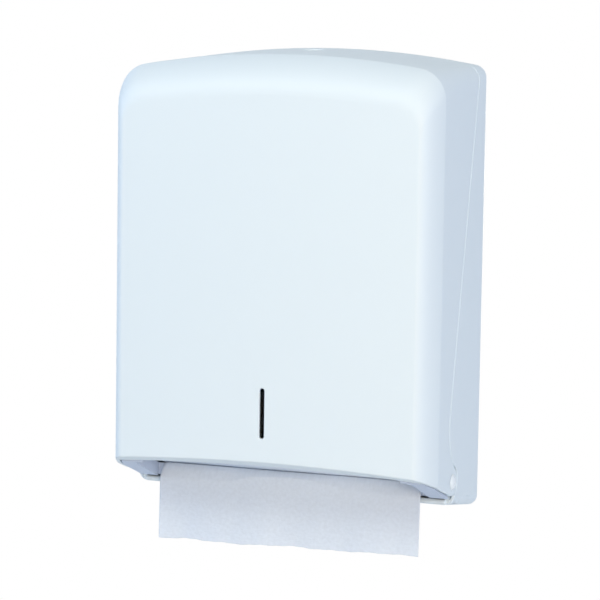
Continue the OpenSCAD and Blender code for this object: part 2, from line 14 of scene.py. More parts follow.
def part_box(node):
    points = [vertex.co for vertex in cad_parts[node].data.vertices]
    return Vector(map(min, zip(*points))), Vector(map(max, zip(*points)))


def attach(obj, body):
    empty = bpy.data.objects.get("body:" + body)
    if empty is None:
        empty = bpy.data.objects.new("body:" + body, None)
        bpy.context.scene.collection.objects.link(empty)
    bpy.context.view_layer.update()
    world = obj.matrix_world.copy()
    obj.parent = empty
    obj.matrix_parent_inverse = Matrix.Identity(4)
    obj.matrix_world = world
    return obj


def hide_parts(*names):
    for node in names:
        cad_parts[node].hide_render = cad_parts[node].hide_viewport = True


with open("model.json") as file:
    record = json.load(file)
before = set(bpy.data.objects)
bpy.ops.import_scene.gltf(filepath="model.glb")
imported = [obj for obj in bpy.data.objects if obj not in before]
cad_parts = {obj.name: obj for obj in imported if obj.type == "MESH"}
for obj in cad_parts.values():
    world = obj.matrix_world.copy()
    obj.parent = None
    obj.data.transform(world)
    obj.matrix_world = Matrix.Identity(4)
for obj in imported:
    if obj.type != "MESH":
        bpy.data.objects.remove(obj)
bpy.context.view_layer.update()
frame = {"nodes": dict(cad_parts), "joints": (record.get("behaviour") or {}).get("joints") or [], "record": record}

bl_info = {
    "name": "Folded towel dispenser",
    "version": (1, 0, 0),
    "blender": (4, 5, 0),
    "location": "3D View > Sidebar > Dispenser",
    "description": "Builds the shells, towels, fittings and stage of a wall dispenser round its solids",
    "category": "Object",
}

MM = 0.001

# Places that the solids give: boxes of some pieces, the pivots, the lock and the wall screws
HOUSING_LOW, HOUSING_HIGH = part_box("back_housing")
COVER_LOW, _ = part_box("front_cover")
STACK_LOW, STACK_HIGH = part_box("towel_stack")
CASE_LOW, CASE_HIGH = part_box("lock_case")
_, TRAY_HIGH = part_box("towel_tray")
JOINTS = {joint["name"]: joint for joint in frame["joints"]}
PIVOT = Vector(JOINTS["cover_swing"]["pos_m"])
LOCK = Vector(JOINTS["lock_turn"]["pos_m"])
WALL_SCREWS = next(mount for mount in frame["record"]["mounts"] if mount["name"] == "wall_screws")
BOTTOM = HOUSING_LOW.z
FRONT_BOW = 4 * MM


# Settings


def length(name, description, default):
    """A size in metres that a user may change."""
    return FloatProperty(name=name, description=description, default=default, unit="LENGTH", precision=4)


def angle(name, description, degrees):
    """An angle, kept in radians."""
    return FloatProperty(name=name, description=description, default=math.radians(degrees), subtype="ANGLE")


def power(name, description, default):
    """The power of a lamp in watts."""
    return FloatProperty(name=name, description=description, default=default, unit="POWER")


def paint(name, description, default):
    """A colour as an sRGB hex value."""
    return StringProperty(name=name, description=description, default=default)


class ShellSizes(bpy.types.PropertyGroup):
    """Sizes of the housing and the cover, as the solids have them."""

    body_w: length("Width", "Width of the body at the wall", HOUSING_HIGH.x - HOUSING_LOW.x)
    body_h: length("Height", "Height from the bottom to the top", HOUSING_HIGH.z - HOUSING_LOW.z)
    body_d: length("Depth", "Depth from the wall to the front corners", -COVER_LOW.y - FRONT_BOW)
    wall: length("Wall", "Wall thickness of both shells", 2.8 * MM)
    arch_rise: length("Arch rise", "Rise of the arched top to its middle", 14 * MM)
    top_fall: length("Top fall", "Fall of the top from the wall to the front", 7 * MM)
    side_taper: length("Side taper", "Narrowing of each side towards the front", 1.3 * MM)
    front_bow: length("Front bow", "How far the middle of the front stands out", FRONT_BOW)
    corner_r_wall: length("Corner at wall", "Radius of the top corners at the wall", 11 * MM)
    corner_r_front: length("Corner at front", "Radius of the top corners at the front", 27 * MM)
    bottom_r: length("Bottom corner", "Radius of the housing's bottom corners", 9 * MM)
    edge_w: length("Edge width", "Width of the rounded front edge", 15 * MM)
    edge_d: length("Edge depth", "Depth of the rounded front edge", 26 * MM)
    edge_h: length("Edge height", "Height of the rounded top edge", 32 * MM)
    rim_top_d: length("Rim at top", "Depth of the housing's rim at the top", 15 * MM)
    rim_knee_d: length("Rim at knee", "Depth of the rim where its straight edge ends", 79 * MM)
    rim_knee_h: length("Knee height", "Height of the end of the straight edge", 92 * MM)
    seam_gap: length("Seam gap", "Gap between the cover and the housing", 0.5 * MM)
    cover_bottom_h: length("Cover bottom", "Height of the cover's lower front edge", 40.5 * MM)
    bottom_arch: length("Bottom arch", "Rise of the lower edge in its middle", 4.5 * MM)
    flange_d: length("Flange depth", "Depth of the flange on the lower edge", 11 * MM)
    flange_t: length("Flange thickness", "Thickness of that flange", 3 * MM)
    floor_rise: length("Floor rise", "Rise of the floor from the wall to its lip", 10 * MM)
    lip_r: length("Lip radius", "Radius of the lip at the floor's front", 3 * MM)
    lug_r: length("Lug radius", "Radius of the cover's lug at each pivot", 12.5 * MM)
    lug_gap: length("Lug gap", "Gap between the lug and the housing", 0.6 * MM)
    stop_back: length("Stop", "Distance of the housing's lower edge behind the pivots", 6 * MM)
    pin_d: length("Pin", "Diameter of the pivot pins", 8 * MM)
    window_w: length("Slot width", "Width of the level slot", 4.2 * MM)
    window_len: length("Slot height", "Height of the level slot", 42 * MM)
    window_z0: length("Slot place", "Height of the slot's lower end", 66.5 * MM)
    moulded_r: length("Moulded edge", "Radius of the moulded edges", 1.0 * MM)


class TowelSizes(bpy.types.PropertyGroup):
    """Sizes of the paper towels."""

    width: length("Width", "Width of a folded towel", STACK_HIGH.x - STACK_LOW.x)
    leaf_w: length("Leaf width", "Width of the leading towel", 237 * MM)
    leaf_x: length("Leaf place", "How far the leading towel lies to the side", -0.5 * MM)
    hang: length("Hang", "How far the leading towel hangs below the housing", 34.8 * MM)
    wave: length("Waves", "Height of the waves in the hanging towel", 2 * MM)
    bulge: length("Bulge", "How much higher the towel bends in its middle", 7.8 * MM)
    corner_r: length("Corner", "Radius of the leading towel's upper corners", 5 * MM)
    paper_t: length("Thickness", "Thickness of the leading towel", 0.5 * MM)
    depth: length("Depth", "Depth of a folded towel", 104 * MM)
    stack_h: length("Stack", "Height of the stack", 16 * MM)
    layers: IntProperty(name="Layers", description="Folded layers that show in the stack", default=13)


class FinishColours(bpy.types.PropertyGroup):
    """Colours of the materials, as sRGB hex values."""

    shell: paint("Shell", "Moulded shells", "#E7F1F6")
    inner: paint("Inner", "Tray and guides", "#CDD8EA")
    pin: paint("Pin", "Pivot pins", "#F0F6F9")
    paper: paint("Paper", "Towels", "#EAF1FA")
    zinc: paint("Zinc", "Plated screws and bracket", "#B9BEC4")
    nickel: paint("Nickel", "Plated lock", "#D5D3CE")
    floor: paint("Floor", "Studio floor", "#F4F5F6")


class StageSettings(bpy.types.PropertyGroup):
    """Camera and lamps."""

    place: FloatVectorProperty(
        name="Camera place",
        description="Where the camera stands",
        default=(0.7373, -1.9812, 0.1827),
        subtype="XYZ",
        unit="LENGTH",
    )
    yaw: angle("Yaw", "Turn to the left", 20.93)
    pitch: angle("Pitch", "Tilt down", 5.77)
    roll: angle("Roll", "Turn about the view", 0.88)
    lens: FloatProperty(name="Lens", description="Focal length in millimetres", default=146.2)
    key_power: power("Key", "Power of the warm lamp in front", 19.8)
    top_power: power("Top", "Power of the high lamp in front", 25.5)
    right_power: power("Right", "Power of the lamp on the right", 14.5)
    left_power: power("Left", "Power of the lamp on the left", 12.1)
    back_power: power("Back", "Power of the lamp behind", 14.0)
    ambient: FloatProperty(name="Ambient", description="Strength of the even light", default=0.4)


def linear(hex_colour):
    """Linear colour of an sRGB hex value."""
    values = [int(hex_colour[k : k + 2], 16) / 255 for k in (1, 3, 5)]
    return tuple(v / 12.92 if v <= 0.04045 else ((v + 0.055) / 1.055) ** 2.4 for v in values) + (1.0,)


def lerp(a, b, s):
    """Point or number at share s between a and b."""
    return a + (b - a) * s


# Mesh building

SAME_PLACE = 1e-6
HOLE_SIDES = 48
FLAT_FACE_WEIGHT = 80
FILLET_ANGLES = (0.39, 0.79, 1.18, 1.57)
ARC = [(math.sin(a), 1 - math.cos(a)) for a in FILLET_ANGLES]


class Skin:
    """Points and faces of one mesh, made row by row."""

    def __init__(self):
        self.points = []
        self.faces = []

    def row(self, points):
        """Adds points and gives their ids."""
        first = len(self.points)
        self.points.extend(Vector(p) for p in points)
        return list(range(first, len(self.points)))

    def bridge(self, a, b, closed=False, skip=()):
        """Faces between two rows, apart from those to skip."""
        count = len(a)
        for k in range(count if closed else count - 1):
            m = (k + 1) % count
            if k not in skip:
                self.faces.append((a[k], a[m], b[m], b[k]))

    def strip(self, rows, closed=True):
        """Faces from each row to the next."""
        for a, b in zip(rows, rows[1:]):
            self.bridge(a, b, closed)

    def cap(self, loop):
        self.faces.append(tuple(loop))

    def tube(self, loops):
        """Closed rows joined one to the next, with capped ends."""
        rows = [self.row(loop) for loop in loops]
        self.strip(rows)
        self.cap(rows[0])
        self.cap(rows[-1])


def make_piece(name, skin, body, material, slot, *nodes):
    """Object from a skin given above the bottom, riding on a body in place of CAD nodes."""
    mesh = bpy.data.meshes.new(name)
    mesh.from_pydata([(p.x, p.y, p.z + BOTTOM) for p in skin.points], [], skin.faces)
    work = bmesh.new()
    work.from_mesh(mesh)
    bmesh.ops.remove_doubles(work, verts=work.verts, dist=SAME_PLACE)
    bmesh.ops.recalc_face_normals(work, faces=work.faces)
    for face in work.faces:
        face.smooth = True
    work.to_mesh(mesh)
    work.free()
    mesh.materials.append(material)
    piece = bpy.data.objects.new(name, mesh)
    bpy.context.scene.collection.objects.link(piece)
    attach(piece, body)
    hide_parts(*nodes)
    return piece


def cut(piece, cutters, joined=False):
    """Takes cylinders (place, axis, radius, length) out of a piece.

    Shells of the piece that overlap are joined first if that is asked for.
    """
    work = bmesh.new()
    for place, axis, radius, reach in cutters:
        turn = Vector((0, 0, 1)).rotation_difference(Vector(axis)).to_matrix().to_4x4()
        bmesh.ops.create_cone(
            work, cap_ends=True, segments=HOLE_SIDES, radius1=radius, radius2=radius, depth=reach,
            matrix=Matrix.Translation(place) @ turn,
        )
    mesh = bpy.data.meshes.new("cutters")
    work.to_mesh(mesh)
    work.free()
    tool = bpy.data.objects.new("cutters", mesh)
    bpy.context.scene.collection.objects.link(tool)
    modifier = piece.modifiers.new("holes", "BOOLEAN")
    modifier.object = tool
    modifier.operation = "DIFFERENCE"
    modifier.solver = "EXACT"
    modifier.use_self = joined
    bpy.context.view_layer.update()
    graph = bpy.context.evaluated_depsgraph_get()
    made = bpy.data.meshes.new_from_object(piece.evaluated_get(graph))
    piece.modifiers.remove(modifier)
    old = piece.data
    piece.data = made
    bpy.data.meshes.remove(old)
    bpy.data.objects.remove(tool)
    bpy.data.meshes.remove(mesh)


def even_normals(piece):
    """Keeps flat faces flat beside small rounded edges."""
    modifier = piece.modifiers.new("even normals", "WEIGHTED_NORMAL")
    modifier.weight = FLAT_FACE_WEIGHT


# The loft that both shells are cut from

Layer = namedtuple("Layer", "y side top r bow")
EDGE_START, FLAT_FRONT = math.radians(40), math.radians(90)
CORNER_EASE = 0.35
CORNER_STEPS = 16
ACROSS = (
    0.97, 0.92, 0.85, 0.77, 0.68, 0.59, 0.50, 0.41, 0.33, 0.26, 0.19, 0.135, 0.1, 0.0625, 0.039, 0.0195, 0,
)
# The seam's curve leaves the round lug at LUG_END, and its two handles give it its bend
LUG_END = math.radians(60)
KNEE_HANDLE, LUG_HANDLE = 31 * MM, Vector((-9 * MM, 6 * MM))
CURVE_POINTS = 24
SEAM_ROUNDS = 4


class Body:
    """Outline, seam and lower edges of the dispenser, in metres above its bottom."""

    def __init__(self, sizes):
        for name in ShellSizes.__annotations__:
            setattr(self, name, getattr(sizes, name))
        self.arch_r = ((self.body_w / 2) ** 2 + self.arch_rise**2) / (2 * self.arch_rise)
        self.top_rate = self.top_fall / self.body_d
        self.side_rate = self.side_taper / self.body_d
        self.pivot = Vector((PIVOT.y, PIVOT.z - BOTTOM))
        self.front_low = Vector((-self.body_d, self.cover_bottom_h))
        to_pivot = self.pivot - self.front_low
        self.slope = math.asin(self.lug_r / to_pivot.length) - math.atan2(to_pivot.y, to_pivot.x)
        self.bottom_arch_r = ((self.body_w / 2) ** 2 + self.bottom_arch**2) / (2 * self.bottom_arch)
        self.seam_top = Vector((-self.rim_top_d, self.body_h))
        self.knee = Vector((-self.rim_knee_d, self.rim_knee_h))
        self.seam_dir = (self.knee - self.seam_top).normalized()
        self.lip_y = self.pivot.x + self.stop_back
        self.floor_rate = self.floor_rise / -self.lip_y
        # Functions that give the points of the top on a layer, from the side to the middle
        turns = [(k + 1) / CORNER_STEPS for k in range(CORNER_STEPS)]
        self.top_spots = [partial(self.corner_point, share=share) for share in turns]
        self.top_spots += [partial(self.arch_point, share=share) for share in ACROSS]

    def half_w(self, y):
        return self.body_w / 2 + self.side_rate * y

    def crisp_y(self, t):
        """Depth where the rounded front edge begins."""
        return -(self.body_d - t - self.edge_d)

    def rim_layer(self, y, t):
        """Outline behind the rounded edge, drawn in by a thickness."""
        share = min(max(y / self.crisp_y(t), 0), 1)
        return Layer(y, t, t, lerp(self.corner_r_wall, self.corner_r_front, share) - t, 0)

    def edge_layer(self, turn, t):
        """Outline at an angle of the rounded edge, from EDGE_START to FLAT_FRONT."""
        s = (math.sin(turn) - math.sin(EDGE_START)) / (1 - math.sin(EDGE_START))
        c = (math.cos(EDGE_START) - math.cos(turn)) / math.cos(EDGE_START)
        r = self.corner_r_front - t - CORNER_EASE * self.edge_w * c
        return Layer(self.crisp_y(t) - self.edge_d * s, t + self.edge_w * c, t + self.edge_h * c, r, s)

    def side_x(self, layer):
        return self.half_w(layer.y) - layer.side

    def arch_z(self, layer):
        """Height of the arch's centre."""
        return self.body_h + self.top_rate * layer.y - layer.top - self.arch_r

    def corner(self, layer):
        """Centre of the top corner and the angle where it meets the arch."""
        x = self.side_x(layer) - layer.r
        rise = math.sqrt((self.arch_r - layer.r) ** 2 - x * x)
        return x, self.arch_z(layer) + rise, math.atan2(rise, x)

    def bowed(self, layer, x, z):
        """Point of a layer, moved out by the front's bow."""
        bow = self.front_bow * layer.bow * (1 - (x / self.side_x(layer)) ** 2)
        return Vector((x, layer.y - bow, z))

    def corner_point(self, layer, share):
        x, z, end = self.corner(layer)
        return self.bowed(layer, x + layer.r * math.cos(end * share), z + layer.r * math.sin(end * share))

    def arch_point(self, layer, share):
        x, _, end = self.corner(layer)
        x = (x + layer.r * math.cos(end)) * share
        return self.bowed(layer, x, self.arch_z(layer) + math.sqrt(self.arch_r**2 - x * x))

    def lower_edge(self, x, y):
        """Height of the cover's lower edge."""
        lift = self.bottom_arch - self.bottom_arch_r + math.sqrt(self.bottom_arch_r**2 - x * x)
        return self.lower_plane(y) + lift / math.cos(self.slope)

    def lower_plane(self, y):
        """Height of the plane of the cover's lower edge."""
        return self.front_low.y - (y + self.body_d) * math.tan(self.slope)

    def seam_y(self, z):
        """Depth of the straight seam at a height."""
        return self.knee.x + self.seam_dir.x * (z - self.knee.y) / self.seam_dir.y

    def top_seam_y(self, spot, t, shift):
        """Depth at which the seam, moved by a shift, crosses the top."""
        y = -self.rim_top_d
        for _ in range(SEAM_ROUNDS):
            y = self.seam_y(spot(self.rim_layer(y, t)).z) + shift
        return y

    def seam_curve(self):
        """Curve from the round lug up to the knee of the seam."""
        end = self.pivot + self.lug_r * Vector((math.cos(LUG_END), math.sin(LUG_END)))
        b = self.knee + KNEE_HANDLE * self.seam_dir
        c = end + LUG_HANDLE
        shares = [1 - k / CURVE_POINTS for k in range(CURVE_POINTS + 1)]
        return [
            self.knee * (1 - s) ** 3 + 3 * b * s * (1 - s) ** 2 + 3 * c * s * s * (1 - s) + end * s**3
            for s in shares
        ]

    def lug_arc(self, radius, start, end, steps):
        """Part of a circle round the pivot."""
        turns = [lerp(start, end, k / steps) for k in range(steps + 1)]
        return [self.pivot + radius * Vector((math.cos(a), math.sin(a))) for a in turns]


def line_shares(points):
    """Share of a line's length at each of its points."""
    at = np.concatenate([[0], np.cumsum([(b - a).length for a, b in zip(points, points[1:])])])
    return at / at[-1]


def along(points, shares):
    """Points at the given shares of a line's length."""
    at = line_shares(points)
    first, second = [p.x for p in points], [p.y for p in points]
    return [Vector((np.interp(s, at, first), np.interp(s, at, second))) for s in shares]


def even_shares(points, stretches):
    """Shares that split each stretch of a line, given as its last point and a count, evenly."""
    at = line_shares(points)
    shares = [0.0]
    start = 0
    for stop, count in stretches:
        shares += [float(lerp(at[start], at[stop], (k + 1) / count)) for k in range(count)]
        start = stop
    return shares


def mirrored(half):
    """A half row from the right side to the middle, with its mirror image after it."""
    return half + [Vector((-p.x, p.y, p.z)) for p in reversed(half[:-1])]


# Cover

Block = namedtuple("Block", "i0 i1 j0 j1")
LUG_POINTS, LUG_STEPS, CURVE_STEPS, STRAIGHT_STEPS = 40, 22, 16, 14
RIM_SHARES = (
    0, 0.015, 0.053, 0.097, 0.14, 0.173, 0.206, 0.249, 0.293, 0.336, 0.45, 0.6, 0.75, 0.88, 0.96, 0.991, 1,
)
EDGE_ANGLES = (40.7, 42, 44, 47, 50, 54, 58, 62, 66, 70, 74, 78, 82, 86, 90)
LOCK_ROWS, LOCK_COLUMNS = (1, 9), 5
SLOT_COLUMNS, SLOT_RINGS, SLOT_ROUNDING = 4, (1.6, 1), 0.7
# The lock's sunk face: its play, the rim and thickness of its flange, and the boss that holds the case
LOCK_PLAY, LOCK_RIM, LOCK_FLANGE_T, LOCK_BEVEL = 0.1 * MM, 3 * MM, 1.5 * MM, 0.25 * MM
BOSS_WALL, BOSS_DEPTH, RECESS_DEPTH = 2.4 * MM, 5 * MM, 2.2 * MM
FLANGE_ANGLES, FLANGE_LIFT = np.linspace(57, 90, 12), 0.25 * MM
PIN_PLAY = 0.05 * MM


class CoverSheet:
    """One face of the cover, outer or inner: rim rows, edge rows and the front's grid."""

    def __init__(self, body, skin, t):
        self.body, self.skin, self.t = body, skin, t
        self.trim = trim = body.moulded_r
        lug = body.lug_arc(body.lug_r - trim, math.radians(-90) - body.slope, LUG_END, LUG_POINTS)
        curve = [p - Vector((trim, 0)) for p in body.seam_curve()][1:]
        top_z = body.corner(body.rim_layer(-body.rim_top_d - trim, t))[1]
        rear = lug + curve + [Vector((body.seam_y(top_z) - trim, top_z))]
        knee = LUG_POINTS + CURVE_POINTS
        stretches = [(LUG_POINTS, LUG_STEPS), (knee, CURVE_STEPS), (knee + 1, STRAIGHT_STEPS)]
        self.shares = even_shares(rear, stretches)
        self.rear = along(rear, self.shares)
        self.top = len(self.shares) + CORNER_STEPS - 1
        middle = self.top + len(ACROSS)
        self.lock = Block(*LOCK_ROWS, middle - LOCK_COLUMNS, middle + LOCK_COLUMNS)
        self.rows = [skin.row(self.rim_row(g)) for g in RIM_SHARES]
        self.rows += [skin.row(self.edge_row(math.radians(q))) for q in EDGE_ANGLES]
        self.grid = self.front_grid()

    def low(self, x, y):
        return self.body.lower_edge(x, y) + self.trim

    def rim_row(self, g):
        """Row at a share of the way from the seam to the rounded front edge."""
        body, t, seam = self.body, self.t, self.rear[-1]
        front_y = body.crisp_y(t)
        front = body.rim_layer(front_y, t)
        front_low, front_top = self.low(body.side_x(front), front_y), body.corner(front)[1]
        half = []
        for share, rear in zip(self.shares, self.rear):
            spot = lerp(rear, Vector((front_y, lerp(front_low, front_top, share))), g)
            layer = body.rim_layer(spot.x, t)
            level = lerp(seam.y, front_top, (spot.x - seam.x) / (front_y - seam.x))
            # The top corner's drift from a straight line is taken up near the top
            drift = body.corner(layer)[1] - level
            half.append(Vector((body.side_x(layer), spot.x, spot.y + drift * share**4)))
        half[-1].z = body.corner(layer)[1]
        for top in body.top_spots:
            y = lerp(body.top_seam_y(top, t, -self.trim), front_y, g)
            half.append(top(body.rim_layer(y, t)))
        return mirrored(half)

    def edge_row(self, turn):
        """Row at an angle of the rounded front edge."""
        body = self.body
        layer = body.edge_layer(turn, self.t)
        x, top = body.side_x(layer), body.corner(layer)[1]
        half = [Vector((x, layer.y, lerp(self.low(x, layer.y), top, a))) for a in self.shares]
        return mirrored(half + [spot(layer) for spot in body.top_spots])

    def front_grid(self):
        """Rows of the front from its lower edge to the arch, closed by the last edge row."""
        body, ring, points = self.body, self.rows[-1], self.skin.points
        layer = body.edge_layer(FLAT_FRONT, self.t)
        side = body.side_x(layer)
        foot, end = points[ring[0]].z, points[ring[self.top]]
        grid = []
        for i in range(self.top):
            edge = points[ring[i]]
            rise = (edge.z - foot) / (end.z - foot)
            inner = []
            for s in (*ACROSS, *[-s for s in reversed(ACROSS[:-1])]):
                low = self.low(side * s, body.bowed(layer, side * s, 0).y)
                high = body.arch_z(layer) + math.sqrt(body.arch_r**2 - (end.x * s) ** 2)
                inner.append(body.bowed(layer, edge.x * s, lerp(low, high, rise)))
            grid.append([ring[i], *self.skin.row(inner), ring[len(ring) - 1 - i]])
        grid.append(ring[self.top : len(ring) - self.top])
        return grid

    def faces(self, slot):
        """Joins the rows, leaving out the cells round the lock and the level slot."""
        for grid, hole in ((self.rows, self.lock), (self.grid, slot)):
            for i, (a, b) in enumerate(zip(grid, grid[1:])):
                inside = hole.i0 <= i < hole.i1
                self.skin.bridge(a, b, skip=range(hole.j0, hole.j1) if inside else ())

    def rim(self):
        """Edge points in order round the cover, each with its neighbour inside the sheet."""
        last = len(self.rows[0]) - 1
        edge = list(zip(self.rows[0], self.rows[1]))
        edge += [(row[last], row[last - 1]) for row in self.rows[1:]]
        edge += [(self.grid[0][j], self.grid[1][j]) for j in range(len(self.grid[0]) - 2, 0, -1)]
        edge += [(row[0], row[1]) for row in reversed(self.rows[1:])]
        return edge


def block_loop(grid, block):
    """Ids round a block of a grid."""
    i0, i1, j0, j1 = block
    loop = [grid[i0][j] for j in range(j0, j1)]
    loop += [grid[i][j1] for i in range(i0, i1)]
    loop += [grid[i1][j] for j in range(j1, j0, -1)]
    loop += [grid[i][j0] for i in range(i1, i0, -1)]
    return loop


def rounded_rim(skin, outer, inner, r):
    """Closes the edge between two sheets, given as points with their neighbours, with a rounded rim."""
    points = skin.points
    through = [(points[b] - points[a]).normalized() for (a, _), (b, _) in zip(outer, inner)]
    rows = [[here for here, _ in outer]]
    for edge, depth, arc in ((outer, r, ARC), (inner, -r, ARC[::-1])):
        for out, back in arc:
            row = []
            for (here, inside), way in zip(edge, through):
                outward = (points[here] - points[inside]).normalized()
                row.append(points[here] + outward * r * out + way * depth * back)
            rows.append(skin.row(row))
    rows.append([here for here, _ in inner])
    skin.strip(rows)


def capsule_point(p, half_len, r, middle):
    """Nearest point of an upright slot's edge, in the front view."""
    z = min(max(p.z - middle, -half_len), half_len)
    away = Vector((p.x, p.z - middle - z))
    away = away.normalized() if away.length > 0 else Vector((1, 0))
    return away.x * r, middle + z + away.y * r


def level_slot(body, skin, outer, inner):
    """Slot through the front, with rounded edges."""
    r, round_r = body.window_w / 2, body.moulded_r * SLOT_ROUNDING
    low, high = body.window_z0, body.window_z0 + body.window_len
    half_len = body.window_len / 2 - r
    middle = body.window_z0 + body.window_len / 2
    margin = 3 * r / 2
    centre = len(ACROSS)
    heights = [skin.points[row[centre]].z for row in outer.grid]
    slot = Block(
        max(i for i, z in enumerate(heights) if z < low - margin),
        min(i for i, z in enumerate(heights) if z > high + margin),
        centre - SLOT_COLUMNS,
        centre + SLOT_COLUMNS,
    )

    def ring(ids, layer, grow, depth=0):
        """Ring round the slot, wider by a share of its rounding and set back by a depth."""
        edge = [capsule_point(skin.points[k], half_len, r + round_r * grow, middle) for k in ids]
        return skin.row([body.bowed(layer, x, z) + Vector((0, depth, 0)) for x, z in edge])

    edges = []
    for sheet in (outer, inner):
        sheet.faces(slot)
        layer = body.edge_layer(FLAT_FRONT, sheet.t)
        loop = block_loop(sheet.grid, slot)
        rings = [loop] + [ring(loop, layer, grow) for grow in SLOT_RINGS]
        skin.strip(rings)
        edges.append((rings[-1], layer))
    (front, front_layer), (back, back_layer) = edges
    rows = [front]
    rows += [ring(front, front_layer, 1 - out, round_r * away) for out, away in ARC]
    rows += [ring(back, back_layer, 1 - out, -round_r * away) for out, away in ARC[::-1]]
    rows.append(back)
    skin.strip(rows)


def lock_seat(body, skin, outer, inner):
    """Round recess for the lock's face, and the boss under it."""
    face_r = (CASE_HIGH.x - CASE_LOW.x) / 2 + LOCK_PLAY
    case_r, boss_r = face_r - LOCK_RIM, face_r + BOSS_WALL
    face_z = CASE_HIGH.z - BOTTOM - LOCK_FLANGE_T
    boss_z = face_z + RECESS_DEPTH - body.wall - BOSS_DEPTH
    bevel = LOCK_BEVEL

    def ring(loop, radius, height=0, sheet=None):
        """Circle round the lock's axis, at a height or on a sheet."""
        spots = []
        for k in loop:
            away = Vector((skin.points[k].x, skin.points[k].y - LOCK.y)).normalized() * radius
            spot = Vector((away.x, LOCK.y + away.y, height))
            if sheet:
                layer = body.rim_layer(spot.y, sheet.t)
                spot.z = body.arch_z(layer) + math.sqrt(body.arch_r**2 - spot.x**2)
            spots.append(spot)
        return skin.row(spots)

    top, under = block_loop(outer.rows, outer.lock), block_loop(inner.rows, inner.lock)
    edge = ring(top, face_r + bevel, sheet=outer)
    edge_z = min(skin.points[k].z for k in edge) - bevel
    rings = [top, ring(top, face_r + 3 * bevel, sheet=outer), edge]
    rings += [ring(top, face_r + bevel * 0.3, edge_z + bevel * 0.7), ring(top, face_r, edge_z)]
    rings += [ring(top, face_r, face_z), ring(top, case_r, face_z), ring(top, case_r, boss_z)]
    rings += [ring(top, boss_r - bevel, boss_z), ring(top, boss_r, boss_z + bevel)]
    rings += [ring(under, boss_r, sheet=inner), ring(under, boss_r + bevel, sheet=inner), under]
    skin.strip(rings)


def cover_flange(body, skin):
    """Flange along the lower front edge, with its ends in the side walls."""
    middle = body.wall / 2
    layers = [body.edge_layer(math.radians(q), middle) for q in FLANGE_ANGLES]
    columns = [(body.side_x(layer), layer.y) for layer in layers]
    layer = body.edge_layer(FLAT_FRONT, middle)
    side = body.side_x(layer)
    columns += [(side * s, body.bowed(layer, side * s, 0).y) for s in ACROSS]
    columns += [(-x, y) for x, y in reversed(columns[:-1])]
    r, low, high = body.moulded_r, FLANGE_LIFT, body.flange_t
    round_y = -body.body_d + body.wall + body.flange_d - r
    edge = [(round_y + r * math.sin(a), low + r - r * math.cos(a)) for a in FILLET_ANGLES]
    edge += [(round_y + r * math.cos(a), high - r + r * math.sin(a)) for a in (0, *FILLET_ANGLES)]
    loops = []
    for x, y in columns:
        profile = [(y, low), (round_y, low), *edge, (y, high)]
        loops.append([(x, v, body.lower_edge(x, v) + h) for v, h in profile])
    skin.tube(loops)


def build_cover(body, material):
    """Cover of two sheets with a rounded rim, the level slot, the lock's seat and a flange."""
    skin = Skin()
    outer = CoverSheet(body, skin, 0)
    inner = CoverSheet(body, skin, body.wall)
    level_slot(body, skin, outer, inner)
    lock_seat(body, skin, outer, inner)
    rounded_rim(skin, outer.rim(), inner.rim(), body.moulded_r)
    cover_flange(body, skin)
    piece = make_piece("cover_shell", skin, "cover", material, "shell", "front_cover")
    cut(piece, [(PIVOT, (1, 0, 0), body.pin_d / 2 + PIN_PLAY, 2 * body.body_w)])
    even_normals(piece)


# Housing

HOUSING_SHARES = (0, 0.02, 0.2, 0.4, 0.6, 0.8, 0.93, 0.98, 1)
BOTTOM_STEPS, LOW_CORNER_STEPS, FOOT_STEPS = 20, 10, 3
GAP_POINTS, GAP_END = 36, math.radians(57)
CLEAR = 0.8 * MM
# The lip is drawn thinner and shorter than its solid, which leaves a narrow gap under the tray
LIP_THINNER, LIP_SHORTER, LIP_END_R, LIP_SIDES = 0.6 * MM, 2.5 * MM, 2 * MM, 32
LIP_END_ANGLES = (90, 67, 45, 22, 0)
# The ears: thickness, reach in front of the pivots and behind the lugs, height over the pivots, foot
EAR_T, EAR_FRONT, EAR_BACK, EAR_TOP, EAR_FOOT = 4.2 * MM, 34 * MM, 8 * MM, 22 * MM, 1 * MM
RIB_PLACES, RIB_T, RIB_GAP = (-80 * MM, 0, 80 * MM), 3 * MM, 0.3 * MM
PRISM_EDGE = 0.5 * MM
# The tray's lower wings: gap to the lip, lift over the cover's lower edge and fall towards the wall
TRAY_T, WING_GAP, WING_LIFT, WING_FALL = 2.5 * MM, 1.2 * MM, 0.3 * MM, 1.5 * MM
SMALL_HOLE_R, HOLE_REACH = 1.52 * MM, 20 * MM


